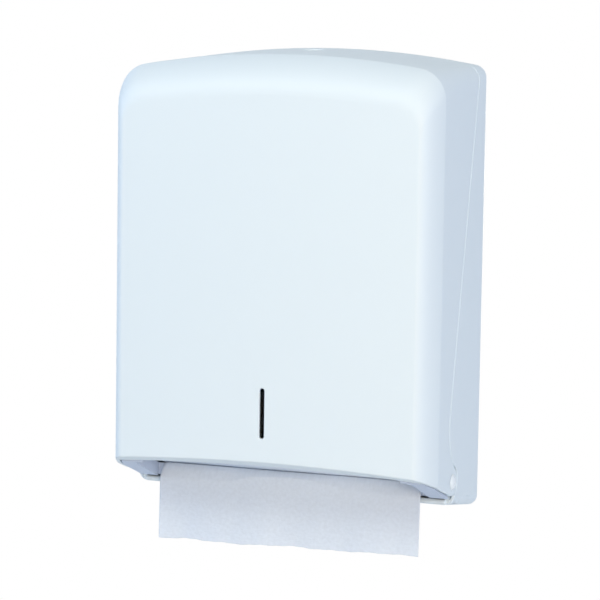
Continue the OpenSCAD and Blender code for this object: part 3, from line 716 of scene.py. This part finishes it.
class HousingSheet:
    """One face of the housing, outer or inner: rows from the wall to the seam, closed round the floor."""

    def __init__(self, body, skin, t, back_y):
        self.body, self.skin, self.t, self.back_y = body, skin, t, back_y
        trim = body.moulded_r
        self.front_y = body.lip_y + trim
        self.shift = body.seam_gap + trim
        gap_r = body.lug_r + body.lug_gap + trim
        low_angle = -math.acos((self.front_y - body.pivot.x) / gap_r)
        start = Vector((self.front_y, self.low(self.front_y) + body.bottom_r))
        curve = [p + Vector((self.shift, 0)) for p in body.seam_curve()]
        curve = [p for p in curve if (p - body.pivot).length > gap_r]
        lug = body.lug_arc(gap_r, low_angle, GAP_END, GAP_POINTS)
        top_z = body.corner(body.rim_layer(-body.rim_top_d, t))[1]
        front = [start] + lug + curve + [Vector((body.seam_y(top_z) + self.shift, top_z))]
        knee = len(lug) + len(curve)
        stretches = [(1, FOOT_STEPS), (len(lug), LUG_STEPS), (knee, CURVE_STEPS), (knee + 1, STRAIGHT_STEPS)]
        self.shares = even_shares(front, stretches)
        self.front = along(front, self.shares)
        self.rows = [skin.row(self.row(g)) for g in HOUSING_SHARES]

    def low(self, y):
        """Height of the floor."""
        return -self.body.floor_rate * y + self.t

    def row(self, g):
        """Row at a share of the way from the wall to the seam, from the middle of the floor all round."""
        body, t = self.body, self.t
        y = lerp(self.back_y, self.front_y, g)
        r = body.bottom_r - t
        x = body.side_x(body.rim_layer(y, t)) - r
        half = [Vector((x * k / BOTTOM_STEPS, y, self.low(y))) for k in range(BOTTOM_STEPS + 1)]
        for k in range(1, LOW_CORNER_STEPS):
            a = math.radians(-90 + 90 * k / LOW_CORNER_STEPS)
            half.append(Vector((x + r * math.cos(a), y, self.low(y) + r + r * math.sin(a))))
        top = body.corner(body.rim_layer(self.back_y, t))[1]
        foot = self.low(self.back_y) + r
        for share, front in zip(self.shares, self.front):
            spot = lerp(Vector((self.back_y, lerp(foot, top, share))), front, g)
            half.append(Vector((body.side_x(body.rim_layer(spot.x, t)), spot.x, spot.y)))
        half[-1].z = body.corner(body.rim_layer(half[-1].y, t))[1]
        for spot in body.top_spots:
            y = lerp(self.back_y, body.top_seam_y(spot, t, self.shift), g)
            half.append(spot(body.rim_layer(y, t)))
        return mirrored(half)[:-1]

    def rim(self):
        """Edge points at the seam, each with its neighbour inside the sheet."""
        return list(zip(self.rows[-1], self.rows[-2]))


def floor_lip(body, skin):
    """Round lip with rounded ends along the front of the floor."""
    radius, half = body.lip_r - LIP_THINNER, TRAY_HIGH.x - LIP_SHORTER
    centre = Vector((body.lip_y, -body.floor_rate * body.lip_y + radius))
    turns = [math.radians(a) for a in LIP_END_ANGLES]
    ends = [(half - LIP_END_R * (1 - math.sin(a)), radius - LIP_END_R * (1 - math.cos(a))) for a in turns]
    circle = [math.tau * k / LIP_SIDES for k in range(LIP_SIDES)]
    skin.tube([
        [(x, centre.x + r * math.cos(a), centre.y + r * math.sin(a)) for a in circle]
        for x, r in [(-x, r) for x, r in ends] + ends[::-1]
    ])


def bevelled_prism(skin, outline, x0, x1):
    """Side view made solid from x0 to x1, with its two flat ends drawn in a little at their edges."""
    centre = sum((Vector(p) for p in outline), Vector((0, 0))) / len(outline)

    def drawn_in(x, by):
        spots = [Vector(p) + (centre - Vector(p)).normalized() * by for p in outline]
        return [(x, spot.x, spot.y) for spot in spots]

    ends = ((x0, PRISM_EDGE), (x0 + PRISM_EDGE, 0), (x1 - PRISM_EDGE, 0), (x1, PRISM_EDGE))
    skin.tube([drawn_in(x, by) for x, by in ends])


def housing_inside(body, skin):
    """Ears that hold the pins and the tray, their bridges to the side walls, and the floor's ribs."""
    rest = tray_rest(body)
    ear_out = body.body_w / 2 - body.side_taper - body.wall - CLEAR
    ear_in = ear_out - EAR_T
    y0, y1 = body.pivot.x - EAR_FRONT, body.pivot.x + body.lug_r + EAR_BACK
    top = body.pivot.y + EAR_TOP
    floor = lambda y: -y * body.floor_rate + body.wall / 2
    lug_y = body.pivot.x - body.lug_r
    foot_y, step_y = body.lip_y - EAR_FOOT, body.pivot.x - body.pin_d
    ear = [(y0, rest(y0)), (y0, top), (y1, top), (y1, floor(y1)), (body.lip_y, floor(body.lip_y))]
    ear += [(y, low_wing_top(body, y) + CLEAR) for y in (foot_y, step_y)]
    ear += [(lug_y, rest(lug_y))]
    bridge_y = body.pivot.x + body.lug_r + body.lug_gap + CLEAR
    bridge = [(bridge_y, floor(bridge_y)), (bridge_y, top), (y1, top), (y1, floor(y1))]
    bridge_x = body.half_w(bridge_y) - body.wall / 2
    rib_y, back = body.lip_y + 2 * body.lip_r, -body.wall / 2
    rib = [(back, body.wall / 2), (rib_y, floor(rib_y))]
    rib += [(y, rest(y) - RIB_GAP) for y in (rib_y, back)]
    for side in (-1, 1):
        bevelled_prism(skin, ear, *sorted((side * ear_in, side * ear_out)))
        bevelled_prism(skin, bridge, *sorted((side * ear_in, side * bridge_x)))
    for x in RIB_PLACES:
        bevelled_prism(skin, rib, x - RIB_T / 2, x + RIB_T / 2)


def tray_rest(body):
    """Height on which the towels rest, at a depth."""
    lift = (body.bottom_arch + body.flange_t + CLEAR + TRAY_T) / math.cos(body.slope)
    return lambda y: body.lower_plane(y) + lift


def low_wing_top(body, y):
    """Height of the upper face of the tray's lower wings, at a depth."""
    start = -body.body_d + body.wall + body.flange_d + CLEAR
    end = body.lip_y - body.lip_r - WING_GAP
    return body.lower_plane(y) + WING_LIFT - WING_FALL * (y - start) / (end - start) + TRAY_T


def screw_holes():
    """Holes for the wall screws and for the small screws in the back wall."""
    dims = WALL_SCREWS["dims"]
    centre = Vector(WALL_SCREWS["pos_m"])
    holes = []
    for x in (-1, 1):
        for z in (-1, 1):
            away = Vector((x * dims["spacing_x_mm"] / 2 * MM, 0, z * dims["spacing_y_mm"] / 2 * MM))
            holes.append((centre + away, (0, 1, 0), dims["hole_r_mm"] * MM, HOLE_REACH))
    for name in ("guide_screws", "keeper_screws"):
        for spot in screw_middles(name):
            holes.append((Vector((spot.x, 0, spot.z)), (0, 1, 0), SMALL_HOLE_R, HOLE_REACH))
    return holes


def screw_middles(name):
    """Middle of each loose screw of a node."""
    work = bmesh.new()
    work.from_mesh(frame["nodes"][name].data)
    bmesh.ops.remove_doubles(work, verts=work.verts, dist=SAME_PLACE)
    left = set(work.verts)
    middles = []
    while left:
        group, heap = [], [left.pop()]
        while heap:
            vert = heap.pop()
            group.append(vert.co.copy())
            for edge in vert.link_edges:
                other = edge.other_vert(vert)
                if other in left:
                    left.remove(other)
                    heap.append(other)
        low, high = [Vector([pick(p[k] for p in group) for k in range(3)]) for pick in (min, max)]
        middles.append((low + high) / 2)
    work.free()
    return middles


def build_housing(body, material):
    """Housing of two sheets with a rounded rim and back edge, its lip, ears, ribs and screw holes."""
    skin = Skin()
    r = body.moulded_r
    outer = HousingSheet(body, skin, 0, -r)
    inner = HousingSheet(body, skin, body.wall, -body.wall)
    for sheet in (outer, inner):
        skin.strip(sheet.rows)
    rounded_rim(skin, outer.rim(), inner.rim(), r)
    middle = Vector((0, 0, body.body_h / 2))
    back = [outer.rows[0]]
    for out, inward in ARC:
        loop = []
        for spot in [skin.points[k] for k in outer.rows[0]]:
            away = Vector((spot.x, 0, spot.z)) - middle
            loop.append(spot - away.normalized() * r * inward + Vector((0, r * out, 0)))
        back.append(skin.row(loop))
    skin.strip(back)
    skin.cap(back[-1])
    skin.cap(inner.rows[0])
    floor_lip(body, skin)
    housing_inside(body, skin)
    piece = make_piece("housing_shell", skin, "housing", material, "shell", "back_housing")
    cut(piece, screw_holes(), joined=True)
    even_normals(piece)


# Towels

SHEET_COLUMNS, PANEL_ROWS, HANG_ROWS = 240, 28, 96
# The bend rises in two steps on the left, to its top near the middle, and falls slowly on the right
BULGE_LEFT, BULGE_TOP, BULGE_RIGHT = -57 * MM, 5 * MM, 75 * MM
FIRST_STEP, FIRST_STEP_W, SECOND_STEP_X = 0.76, 25 * MM, 17 * MM
# Waves as height, degrees per millimetre and start in degrees
SWAY_WAVES = ((0.7, 2.9, 20), (0.3, 7.3, 80))
FINE_SWAY, FINE_RATE, FINE_DRIFT = 0.10, 17, 300
EDGE_WAVES = ((0.5, 4.1, 100), (0.3, 11, 15), (0.15, 29, 0))
EDGE_RISE = 0.018
# The leaf starts behind the lip and under the stack, leans forward and bends over the lip
LEAF_GAP, LEAF_DROP, LEAF_LEAN, BEND_LIFT = 1.6 * MM, 0.6 * MM, 6 * MM, 3.4 * MM
PANEL_STRAIGHT, HANG_LEAN = 0.35, 1.2
FLAT_LEAN = 0.8
STACK_SEED, STACK_GAP, FOLD_SHARE, FOLD_POINTS, SIDE_PLAY = 4, 0.3 * MM, 0.47, 13, 0.5 * MM
# How far a folded layer may lie off at its back, front and side, in millimetres
LAYER_PLAY = ((0, 0.7), (0, 0.9), (-0.5, 0.3))


def smooth(a, b, x):
    """Even step from 0 at a to 1 at b."""
    s = min(max((x - a) / (b - a), 0), 1)
    return s * s * (3 - 2 * s)


def bend_bulge(x, height):
    """How much higher the paper bends in its middle."""
    rise = FIRST_STEP * smooth(BULGE_LEFT, BULGE_LEFT + FIRST_STEP_W, x)
    rise += (1 - FIRST_STEP) * smooth(BULGE_LEFT + SECOND_STEP_X, BULGE_TOP, x)
    return height * rise * (1 - smooth(BULGE_TOP, BULGE_RIGHT, x))


def ripple(x, waves):
    """Sum of waves at a place across the paper."""
    return sum(high * math.sin(math.radians(rate * x / MM + start)) for high, rate, start in waves)


def sway(x, s, reach):
    """Waves across the hanging end, in metres, growing towards its lower edge."""
    fine = ripple(x, [(FINE_SWAY, FINE_RATE, FINE_DRIFT * s)]) * s
    return reach * s * (ripple(x, SWAY_WAVES) + fine)


def torn_edge(x, hang):
    """Height of the loose end, a little higher on the right."""
    return -hang + EDGE_RISE * x + ripple(x, EDGE_WAVES) * MM


def sheet_line(body, sizes, x):
    """Middle line of the leading towel at one place across it, as depth and height."""
    top = Vector((body.lip_y - body.lip_r - LEAF_GAP, 0))
    top.y = tray_rest(body)(top.x) - LEAF_DROP
    lip_top = -body.floor_rate * body.lip_y + body.lip_r
    bend = Vector((top.x - LEAF_LEAN, lip_top + BEND_LIFT + bend_bulge(x, sizes.bulge)))
    edge = sizes.leaf_w / 2 - abs(x - sizes.leaf_x)
    if edge < sizes.corner_r:
        top.y -= sizes.corner_r - math.sqrt(sizes.corner_r**2 - (sizes.corner_r - edge) ** 2)
    line = []
    for s in [k / PANEL_ROWS for k in range(PANEL_ROWS + 1)]:
        fall = PANEL_STRAIGHT * s + (1 - PANEL_STRAIGHT) * s * s
        line.append(Vector((lerp(top.x, bend.x, s), lerp(top.y, bend.y, fall))))
    end = torn_edge(x, sizes.hang)
    for s in [k / HANG_ROWS for k in range(1, HANG_ROWS + 1)]:
        y = bend.x - HANG_LEAN * sizes.wave * s + sway(x, s, sizes.wave)
        line.append(Vector((y, lerp(bend.y, end, s))))
    return line


def build_leading_towel(body, sizes, material):
    """One creped leaf: a smooth panel under the stack, an uneven bend and a wavy hanging end."""
    skin = Skin()
    half = sizes.leaf_w / 2
    fronts, backs, reach = [], [], 0
    for c in range(SHEET_COLUMNS + 1):
        x = sizes.leaf_x + lerp(-half, half, c / SHEET_COLUMNS)
        line = sheet_line(body, sizes, x)
        reach = max(reach, sum((b - a).length for a, b in zip(line, line[1:])))
        front, back = [], []
        for before, spot, after in zip([line[0]] + line, line, line[1:] + [line[-1]]):
            way = (after - before).normalized()
            normal = Vector((way.y, -way.x)) * sizes.paper_t / 2
            front.append((x, spot.x + normal.x, spot.y + normal.y))
            back.append((x, spot.x - normal.x, spot.y - normal.y))
        fronts.append(skin.row(front))
        backs.append(skin.row(back))
    for rows in (fronts, backs):
        skin.strip(rows, closed=False)
    for k in (0, -1):
        skin.bridge(fronts[k], backs[k])
        skin.bridge([row[k] for row in fronts], [row[k] for row in backs])
    piece = make_piece("leading_leaf", skin, "towel", material, "towel", "leading_towel")
    lay_out(piece)


def lay_out(piece):
    """Flat coordinates in metres: across the paper, and down its length."""
    layer = piece.data.uv_layers.new(name="flat")
    for loop in piece.data.loops:
        spot = piece.data.vertices[loop.vertex_index].co
        layer.data[loop.index].uv = (spot.x, spot.z - FLAT_LEAN * spot.y)


def build_stack(body, sizes, material):
    """Folded towels lying on one another, each with a round fold in front and behind."""
    skin = Skin()
    draw = random.Random(STACK_SEED)
    along_y = Vector((0, math.cos(body.slope), -math.sin(body.slope)))
    up = Vector((0, math.sin(body.slope), math.cos(body.slope)))
    origin = Vector((0, STACK_LOW.y, tray_rest(body)(STACK_LOW.y) + STACK_GAP))
    pitch = sizes.stack_h / sizes.layers
    r = pitch * FOLD_SHARE
    half = sizes.width / 2 - SIDE_PLAY
    for k in range(sizes.layers):
        height = pitch * (k + 0.5)
        back, front, side = [draw.uniform(*limits) * MM for limits in LAYER_PLAY]
        outline = []
        for fold, first in ((front + r, 90), (sizes.depth - back - r, 270)):
            for a in np.radians(np.linspace(first, first + 180, FOLD_POINTS)):
                outline.append((fold + r * math.cos(a), height + r * math.sin(a)))
        skin.tube([
            [origin + Vector((x, 0, 0)) + along_y * d + up * h for d, h in outline]
            for x in (-half + side, half + side)
        ])
    piece = make_piece("folded_stack", skin, "housing", material, "towel", "towel_stack")
    lay_out(piece)


# Materials: a finish holds its colour's setting, IOR, metallic, range of roughness and size of its marks,
# and bumps as (pattern size, relief, stretch). A cloudy one is darker by up to that share in its marks.

Finish = namedtuple("Finish", "colour ior metallic rough marks bumps space cloudy", defaults=("Object", 0.0))
EVEN = (1, 1, 1)
GRAIN_DETAIL, GRAIN_LOW, GRAIN_HIGH = 3.0, 0.3, 0.7
FINISHES = {
    # White ABS from a satin mould: broad soft highlights, and a faint unevenness in them
    "moulded_white_abs": Finish(
        "shell", 1.54, 0.0, (0.48, 0.56), 12 * MM, [(9 * MM, 0.02 * MM, EVEN), (1.6 * MM, 0.006 * MM, EVEN)],
    ),
    # Grey ABS from a spark-eroded mould: matt, with a fine even grain
    "moulded_grey_abs": Finish("inner", 1.54, 0.0, (0.52, 0.64), 6 * MM, [(1.5 * MM, 0.05 * MM, EVEN)]),
    # White acetal from a smooth mould: a little brighter and glossier than the shells
    "moulded_white_acetal": Finish("pin", 1.48, 0.0, (0.24, 0.32), 4 * MM, [(1.5 * MM, 0.01 * MM, EVEN)]),
    # Stamped steel with zinc plating: grey metal with soft, slightly cloudy reflections
    "zinc_plated_steel": Finish("zinc", None, 1.0, (0.28, 0.42), 3 * MM, [(0.8 * MM, 0.01 * MM, (1, 1, 6))]),
    # Turned brass with nickel plating: warm bright metal with fine turning marks
    "nickel_plated_brass": Finish("nickel", None, 1.0, (0.14, 0.22), 2 * MM, [(0.7 * MM, 0.006 * MM, EVEN)]),
    # Uncoated paper creped on a drum: fully matt, with fine ridges across its length and loose fibres.
    # Real ridges stand 0.4 mm apart, too fine for the picture, so they are drawn about 1.5 mm apart
    "creped_paper": Finish(
        "paper", 1.47, 0.0, (0.92, 1.0), 3 * MM,
        [(7 * MM, 0.35 * MM, EVEN), (1.5 * MM, 0.22 * MM, (0.3, 1, 1))], "UV", 0.06,
    ),
    # Painted board: pale and matt, with the faint texture of a roller
    "painted_floor": Finish("floor", 1.5, 0.0, (0.7, 0.8), 20 * MM, [(3 * MM, 0.05 * MM, EVEN)]),
}


def node(tree, kind, inputs=None, **settings):
    """Adds one shader node with its settings, and links or sets its inputs."""
    made = tree.nodes.new(kind)
    for key, value in settings.items():
        setattr(made, key, value)
    for key, value in (inputs or {}).items():
        if isinstance(value, bpy.types.NodeSocket):
            tree.links.new(value, made.inputs[key])
        else:
            made.inputs[key].default_value = value
    return made


def grain(tree, size, space, stretch=EVEN):
    """Noise whose spots are about one size across, in metres."""
    where = node(tree, "ShaderNodeTexCoord").outputs[space]
    scaled = node(tree, "ShaderNodeMapping", {"Vector": where, "Scale": stretch}).outputs["Vector"]
    inputs = {"Vector": scaled, "Scale": 1 / size, "Detail": GRAIN_DETAIL}
    return node(tree, "ShaderNodeTexNoise", inputs).outputs["Fac"]


def between(tree, value, low, high):
    """Maps a pattern's middle range to the range from low to high."""
    inputs = {"Value": value, "From Min": GRAIN_LOW, "From Max": GRAIN_HIGH, "To Min": low, "To Max": high}
    return node(tree, "ShaderNodeMapRange", inputs).outputs["Result"]


def surface(name, colours):
    """Material of a finish, with uneven roughness and small relief, made once."""
    material = bpy.data.materials.get(name)
    if material:
        return material
    finish = FINISHES[name]
    colour = linear(getattr(colours, finish.colour))
    material = bpy.data.materials.new(name)
    material.use_nodes = True
    tree = material.node_tree
    tree.nodes.clear()
    pattern = grain(tree, finish.marks, finish.space)
    inputs = {"Base Color": colour, "Metallic": finish.metallic}
    inputs["Roughness"] = between(tree, pattern, *finish.rough)
    for size, relief, stretch in finish.bumps:
        bump = {"Height": grain(tree, size, finish.space, stretch), "Distance": relief, "Strength": 1.0}
        if "Normal" in inputs:
            bump["Normal"] = inputs["Normal"]
        inputs["Normal"] = node(tree, "ShaderNodeBump", bump).outputs["Normal"]
    if finish.cloudy:
        tint = {"Color": colour, "Value": between(tree, pattern, 1 - finish.cloudy, 1.0)}
        inputs["Base Color"] = node(tree, "ShaderNodeHueSaturation", tint).outputs["Color"]
    if finish.ior:
        inputs["IOR"] = finish.ior
    shader = node(tree, "ShaderNodeBsdfPrincipled", inputs)
    node(tree, "ShaderNodeOutputMaterial", {"Surface": shader.outputs["BSDF"]})
    return material


# Fittings

FITTINGS = {
    "moulded_grey_abs": ("towel_tray", "left_towel_guide", "right_towel_guide"),
    "moulded_white_acetal": ("left_pivot_pin", "right_pivot_pin"),
    "zinc_plated_steel": (
        "left_pin_clip", "right_pin_clip", "tray_screws", "guide_screws", "keeper_screws", "lock_keeper",
        "lock_cam", "cam_screw",
    ),
    "nickel_plated_brass": ("lock_case", "lock_nut", "lock_cylinder"),
}
BROKEN_EDGE, SHARP_ANGLE = 0.25 * MM, math.radians(35)
# The tray has slivers that clamp a bevel to nothing, so its edges are finer and aren't clamped
FINE_EDGED, FINE_EDGE = ("towel_tray",), 0.1 * MM


def finish_fitting(piece, material):
    """Gives a solid its material and softly broken edges."""
    piece.data.materials.clear()
    piece.data.materials.append(material)
    weld = piece.modifiers.new("weld", "WELD")
    weld.merge_threshold = SAME_PLACE
    fine = piece.name in FINE_EDGED
    bevel = piece.modifiers.new("broken edges", "BEVEL")
    bevel.width = FINE_EDGE if fine else BROKEN_EDGE
    bevel.segments = 2
    bevel.limit_method = "ANGLE"
    bevel.use_clamp_overlap = not fine
    bevel.angle_limit = SHARP_ANGLE
    even_normals(piece)


# Stage

MIDDLE = Vector((0, -0.07, -0.01))
# Lamps as name, place, width and height, and colour; each points at the object's middle
LAMPS = (
    ("key", (1.2, -2.1, 0.25), (1.6, 0.8), "#FFE7C4"),
    ("top", (-0.3, -1.55, 1.5), (3.2, 1.0), "#FCFFF9"),
    ("right", (2.2, -0.5, 0.3), (1.2, 1.2), "#D6E4FF"),
    ("left", (-2.0, -0.9, 0.7), (1.2, 1.2), "#ABCDFF"),
    ("back", (0, 2.1, 0), (0.25, 0.25), "#FFF8EC"),
)
AMBIENT_COLOUR, AMBIENT_ABOVE = "#D3E7FF", 0.6
FLOOR_SIDE, FLOOR_FRONT, FLOOR_BACK, FLOOR_HEIGHT = 0.6, -0.9, 0.4, -0.5
SENSOR_WIDTH = 36


def add_lamp(name, place, size, watts, colour):
    """Rectangular lamp that points at the object's middle."""
    lamp = bpy.data.lights.new(name, "AREA")
    lamp.shape = "RECTANGLE"
    lamp.size, lamp.size_y = size
    lamp.energy = watts
    lamp.color = linear(colour)[:3]
    piece = bpy.data.objects.new(name, lamp)
    piece.location = place
    piece.rotation_euler = (MIDDLE - Vector(place)).to_track_quat("-Z", "Y").to_euler()
    bpy.context.scene.collection.objects.link(piece)


def add_camera(settings):
    """Camera fitted to the photo: it stands to the right of the object and looks slightly down."""
    camera = bpy.data.cameras.new("camera")
    camera.sensor_width = SENSOR_WIDTH
    camera.lens = settings.lens
    piece = bpy.data.objects.new("camera", camera)
    yaw, pitch, roll = settings.yaw, settings.pitch, settings.roll
    ahead = Vector((-math.sin(yaw) * math.cos(pitch), math.cos(yaw) * math.cos(pitch), -math.sin(pitch)))
    right = Vector((math.cos(yaw), math.sin(yaw), 0))
    up = right.cross(ahead)
    turned_right = right * math.cos(roll) + up * math.sin(roll)
    turned_up = up * math.cos(roll) - right * math.sin(roll)
    turn = Matrix((turned_right, turned_up, -ahead)).transposed().to_4x4()
    piece.matrix_world = Matrix.Translation(settings.place) @ turn
    bpy.context.scene.collection.objects.link(piece)
    bpy.context.scene.camera = piece


def light_world(strength):
    """White behind the object and in its reflections, and softer cool light from all round."""
    world = bpy.data.worlds.new("studio")
    world.use_nodes = True
    tree = world.node_tree
    tree.nodes.clear()
    rays = node(tree, "ShaderNodeLightPath").outputs
    seen = rays["Is Camera Ray"]
    for kind in ("Is Glossy Ray", "Is Transmission Ray"):
        seen = node(tree, "ShaderNodeMath", {0: seen, 1: rays[kind]}, operation="MAXIMUM").outputs[0]
    where = node(tree, "ShaderNodeTexCoord").outputs["Generated"]
    height = node(tree, "ShaderNodeSeparateXYZ", {0: where}).outputs["Z"]
    fall = {"Value": height, "From Min": -0.2, "From Max": 1.0}
    fall |= {"To Min": strength, "To Max": strength * AMBIENT_ABOVE}
    level = node(tree, "ShaderNodeMapRange", fall).outputs["Result"]
    soft = node(tree, "ShaderNodeBackground", {"Color": linear(AMBIENT_COLOUR), "Strength": level})
    white = node(tree, "ShaderNodeBackground", {"Color": (1, 1, 1, 1), "Strength": 1.0})
    mixed = node(tree, "ShaderNodeMixShader", {0: seen, 1: soft.outputs[0], 2: white.outputs[0]})
    node(tree, "ShaderNodeOutputWorld", {"Surface": mixed.outputs[0]})
    bpy.context.scene.world = world


def add_floor(material):
    """Pale floor below the object, outside the picture, which keeps its shadow."""
    mesh = bpy.data.meshes.new("floor")
    places = ((-1, FLOOR_FRONT), (1, FLOOR_FRONT), (1, FLOOR_BACK), (-1, FLOOR_BACK))
    mesh.from_pydata([(side * FLOOR_SIDE, y, FLOOR_HEIGHT) for side, y in places], [], [(0, 1, 2, 3)])
    mesh.materials.append(material)
    floor = bpy.data.objects.new("floor", mesh)
    bpy.context.scene.collection.objects.link(floor)


# Operators and panel


class DISPENSER_OT_housing(bpy.types.Operator):
    """Build the housing that stays on the wall"""

    bl_idname = "dispenser.housing"
    bl_label = "Housing"

    def execute(self, context):
        scene = context.scene
        build_housing(Body(scene.dispenser_shell), surface("moulded_white_abs", scene.dispenser_colours))
        return {"FINISHED"}


class DISPENSER_OT_cover(bpy.types.Operator):
    """Build the front cover with its level slot and lock seat"""

    bl_idname = "dispenser.cover"
    bl_label = "Front cover"

    def execute(self, context):
        scene = context.scene
        build_cover(Body(scene.dispenser_shell), surface("moulded_white_abs", scene.dispenser_colours))
        return {"FINISHED"}


class DISPENSER_OT_towels(bpy.types.Operator):
    """Build the stack of folded towels and the leading towel"""

    bl_idname = "dispenser.towels"
    bl_label = "Towels"

    def execute(self, context):
        scene = context.scene
        body, paper = Body(scene.dispenser_shell), surface("creped_paper", scene.dispenser_colours)
        build_stack(body, scene.dispenser_towels, paper)
        build_leading_towel(body, scene.dispenser_towels, paper)
        return {"FINISHED"}


class DISPENSER_OT_fittings(bpy.types.Operator):
    """Finish the tray, guides, pins, screws and lock"""

    bl_idname = "dispenser.fittings"
    bl_label = "Fittings"

    def execute(self, context):
        for finish, names in FITTINGS.items():
            for name in names:
                finish_fitting(frame["nodes"][name], surface(finish, context.scene.dispenser_colours))
        return {"FINISHED"}


class DISPENSER_OT_stage(bpy.types.Operator):
    """Set up the camera, the lamps, the floor and the white surroundings"""

    bl_idname = "dispenser.stage"
    bl_label = "Stage"

    def execute(self, context):
        scene = context.scene
        settings = scene.dispenser_stage
        add_camera(settings)
        for name, place, size, colour in LAMPS:
            add_lamp(name, place, size, getattr(settings, name + "_power"), colour)
        light_world(settings.ambient)
        add_floor(surface("painted_floor", scene.dispenser_colours))
        scene.view_settings.view_transform = "Standard"
        return {"FINISHED"}


OPERATORS = (
    DISPENSER_OT_housing,
    DISPENSER_OT_cover,
    DISPENSER_OT_towels,
    DISPENSER_OT_fittings,
    DISPENSER_OT_stage,
)
SETTINGS = {
    "dispenser_shell": ShellSizes,
    "dispenser_towels": TowelSizes,
    "dispenser_colours": FinishColours,
    "dispenser_stage": StageSettings,
}


class DISPENSER_PT_panel(bpy.types.Panel):
    """Settings and steps in the sidebar"""

    bl_idname = "DISPENSER_PT_panel"
    bl_label = "Folded towel dispenser"
    bl_space_type = "VIEW_3D"
    bl_region_type = "UI"
    bl_category = "Dispenser"

    def draw(self, context):
        for operator in OPERATORS:
            self.layout.operator(operator.bl_idname)
        for setting, group in SETTINGS.items():
            box = self.layout.box()
            for name in group.__annotations__:
                box.prop(getattr(context.scene, setting), name)


CLASSES = (*SETTINGS.values(), *OPERATORS, DISPENSER_PT_panel)


def register():
    for cls in CLASSES:
        bpy.utils.register_class(cls)
    for setting, group in SETTINGS.items():
        setattr(bpy.types.Scene, setting, PointerProperty(type=group))


def unregister():
    for setting in SETTINGS:
        delattr(bpy.types.Scene, setting)
    for cls in reversed(CLASSES):
        bpy.utils.unregister_class(cls)


def main():
    register()
    bpy.ops.dispenser.housing()
    bpy.ops.dispenser.cover()
    bpy.ops.dispenser.towels()
    bpy.ops.dispenser.fittings()
    bpy.ops.dispenser.stage()


if __name__ == "__main__":
    main()
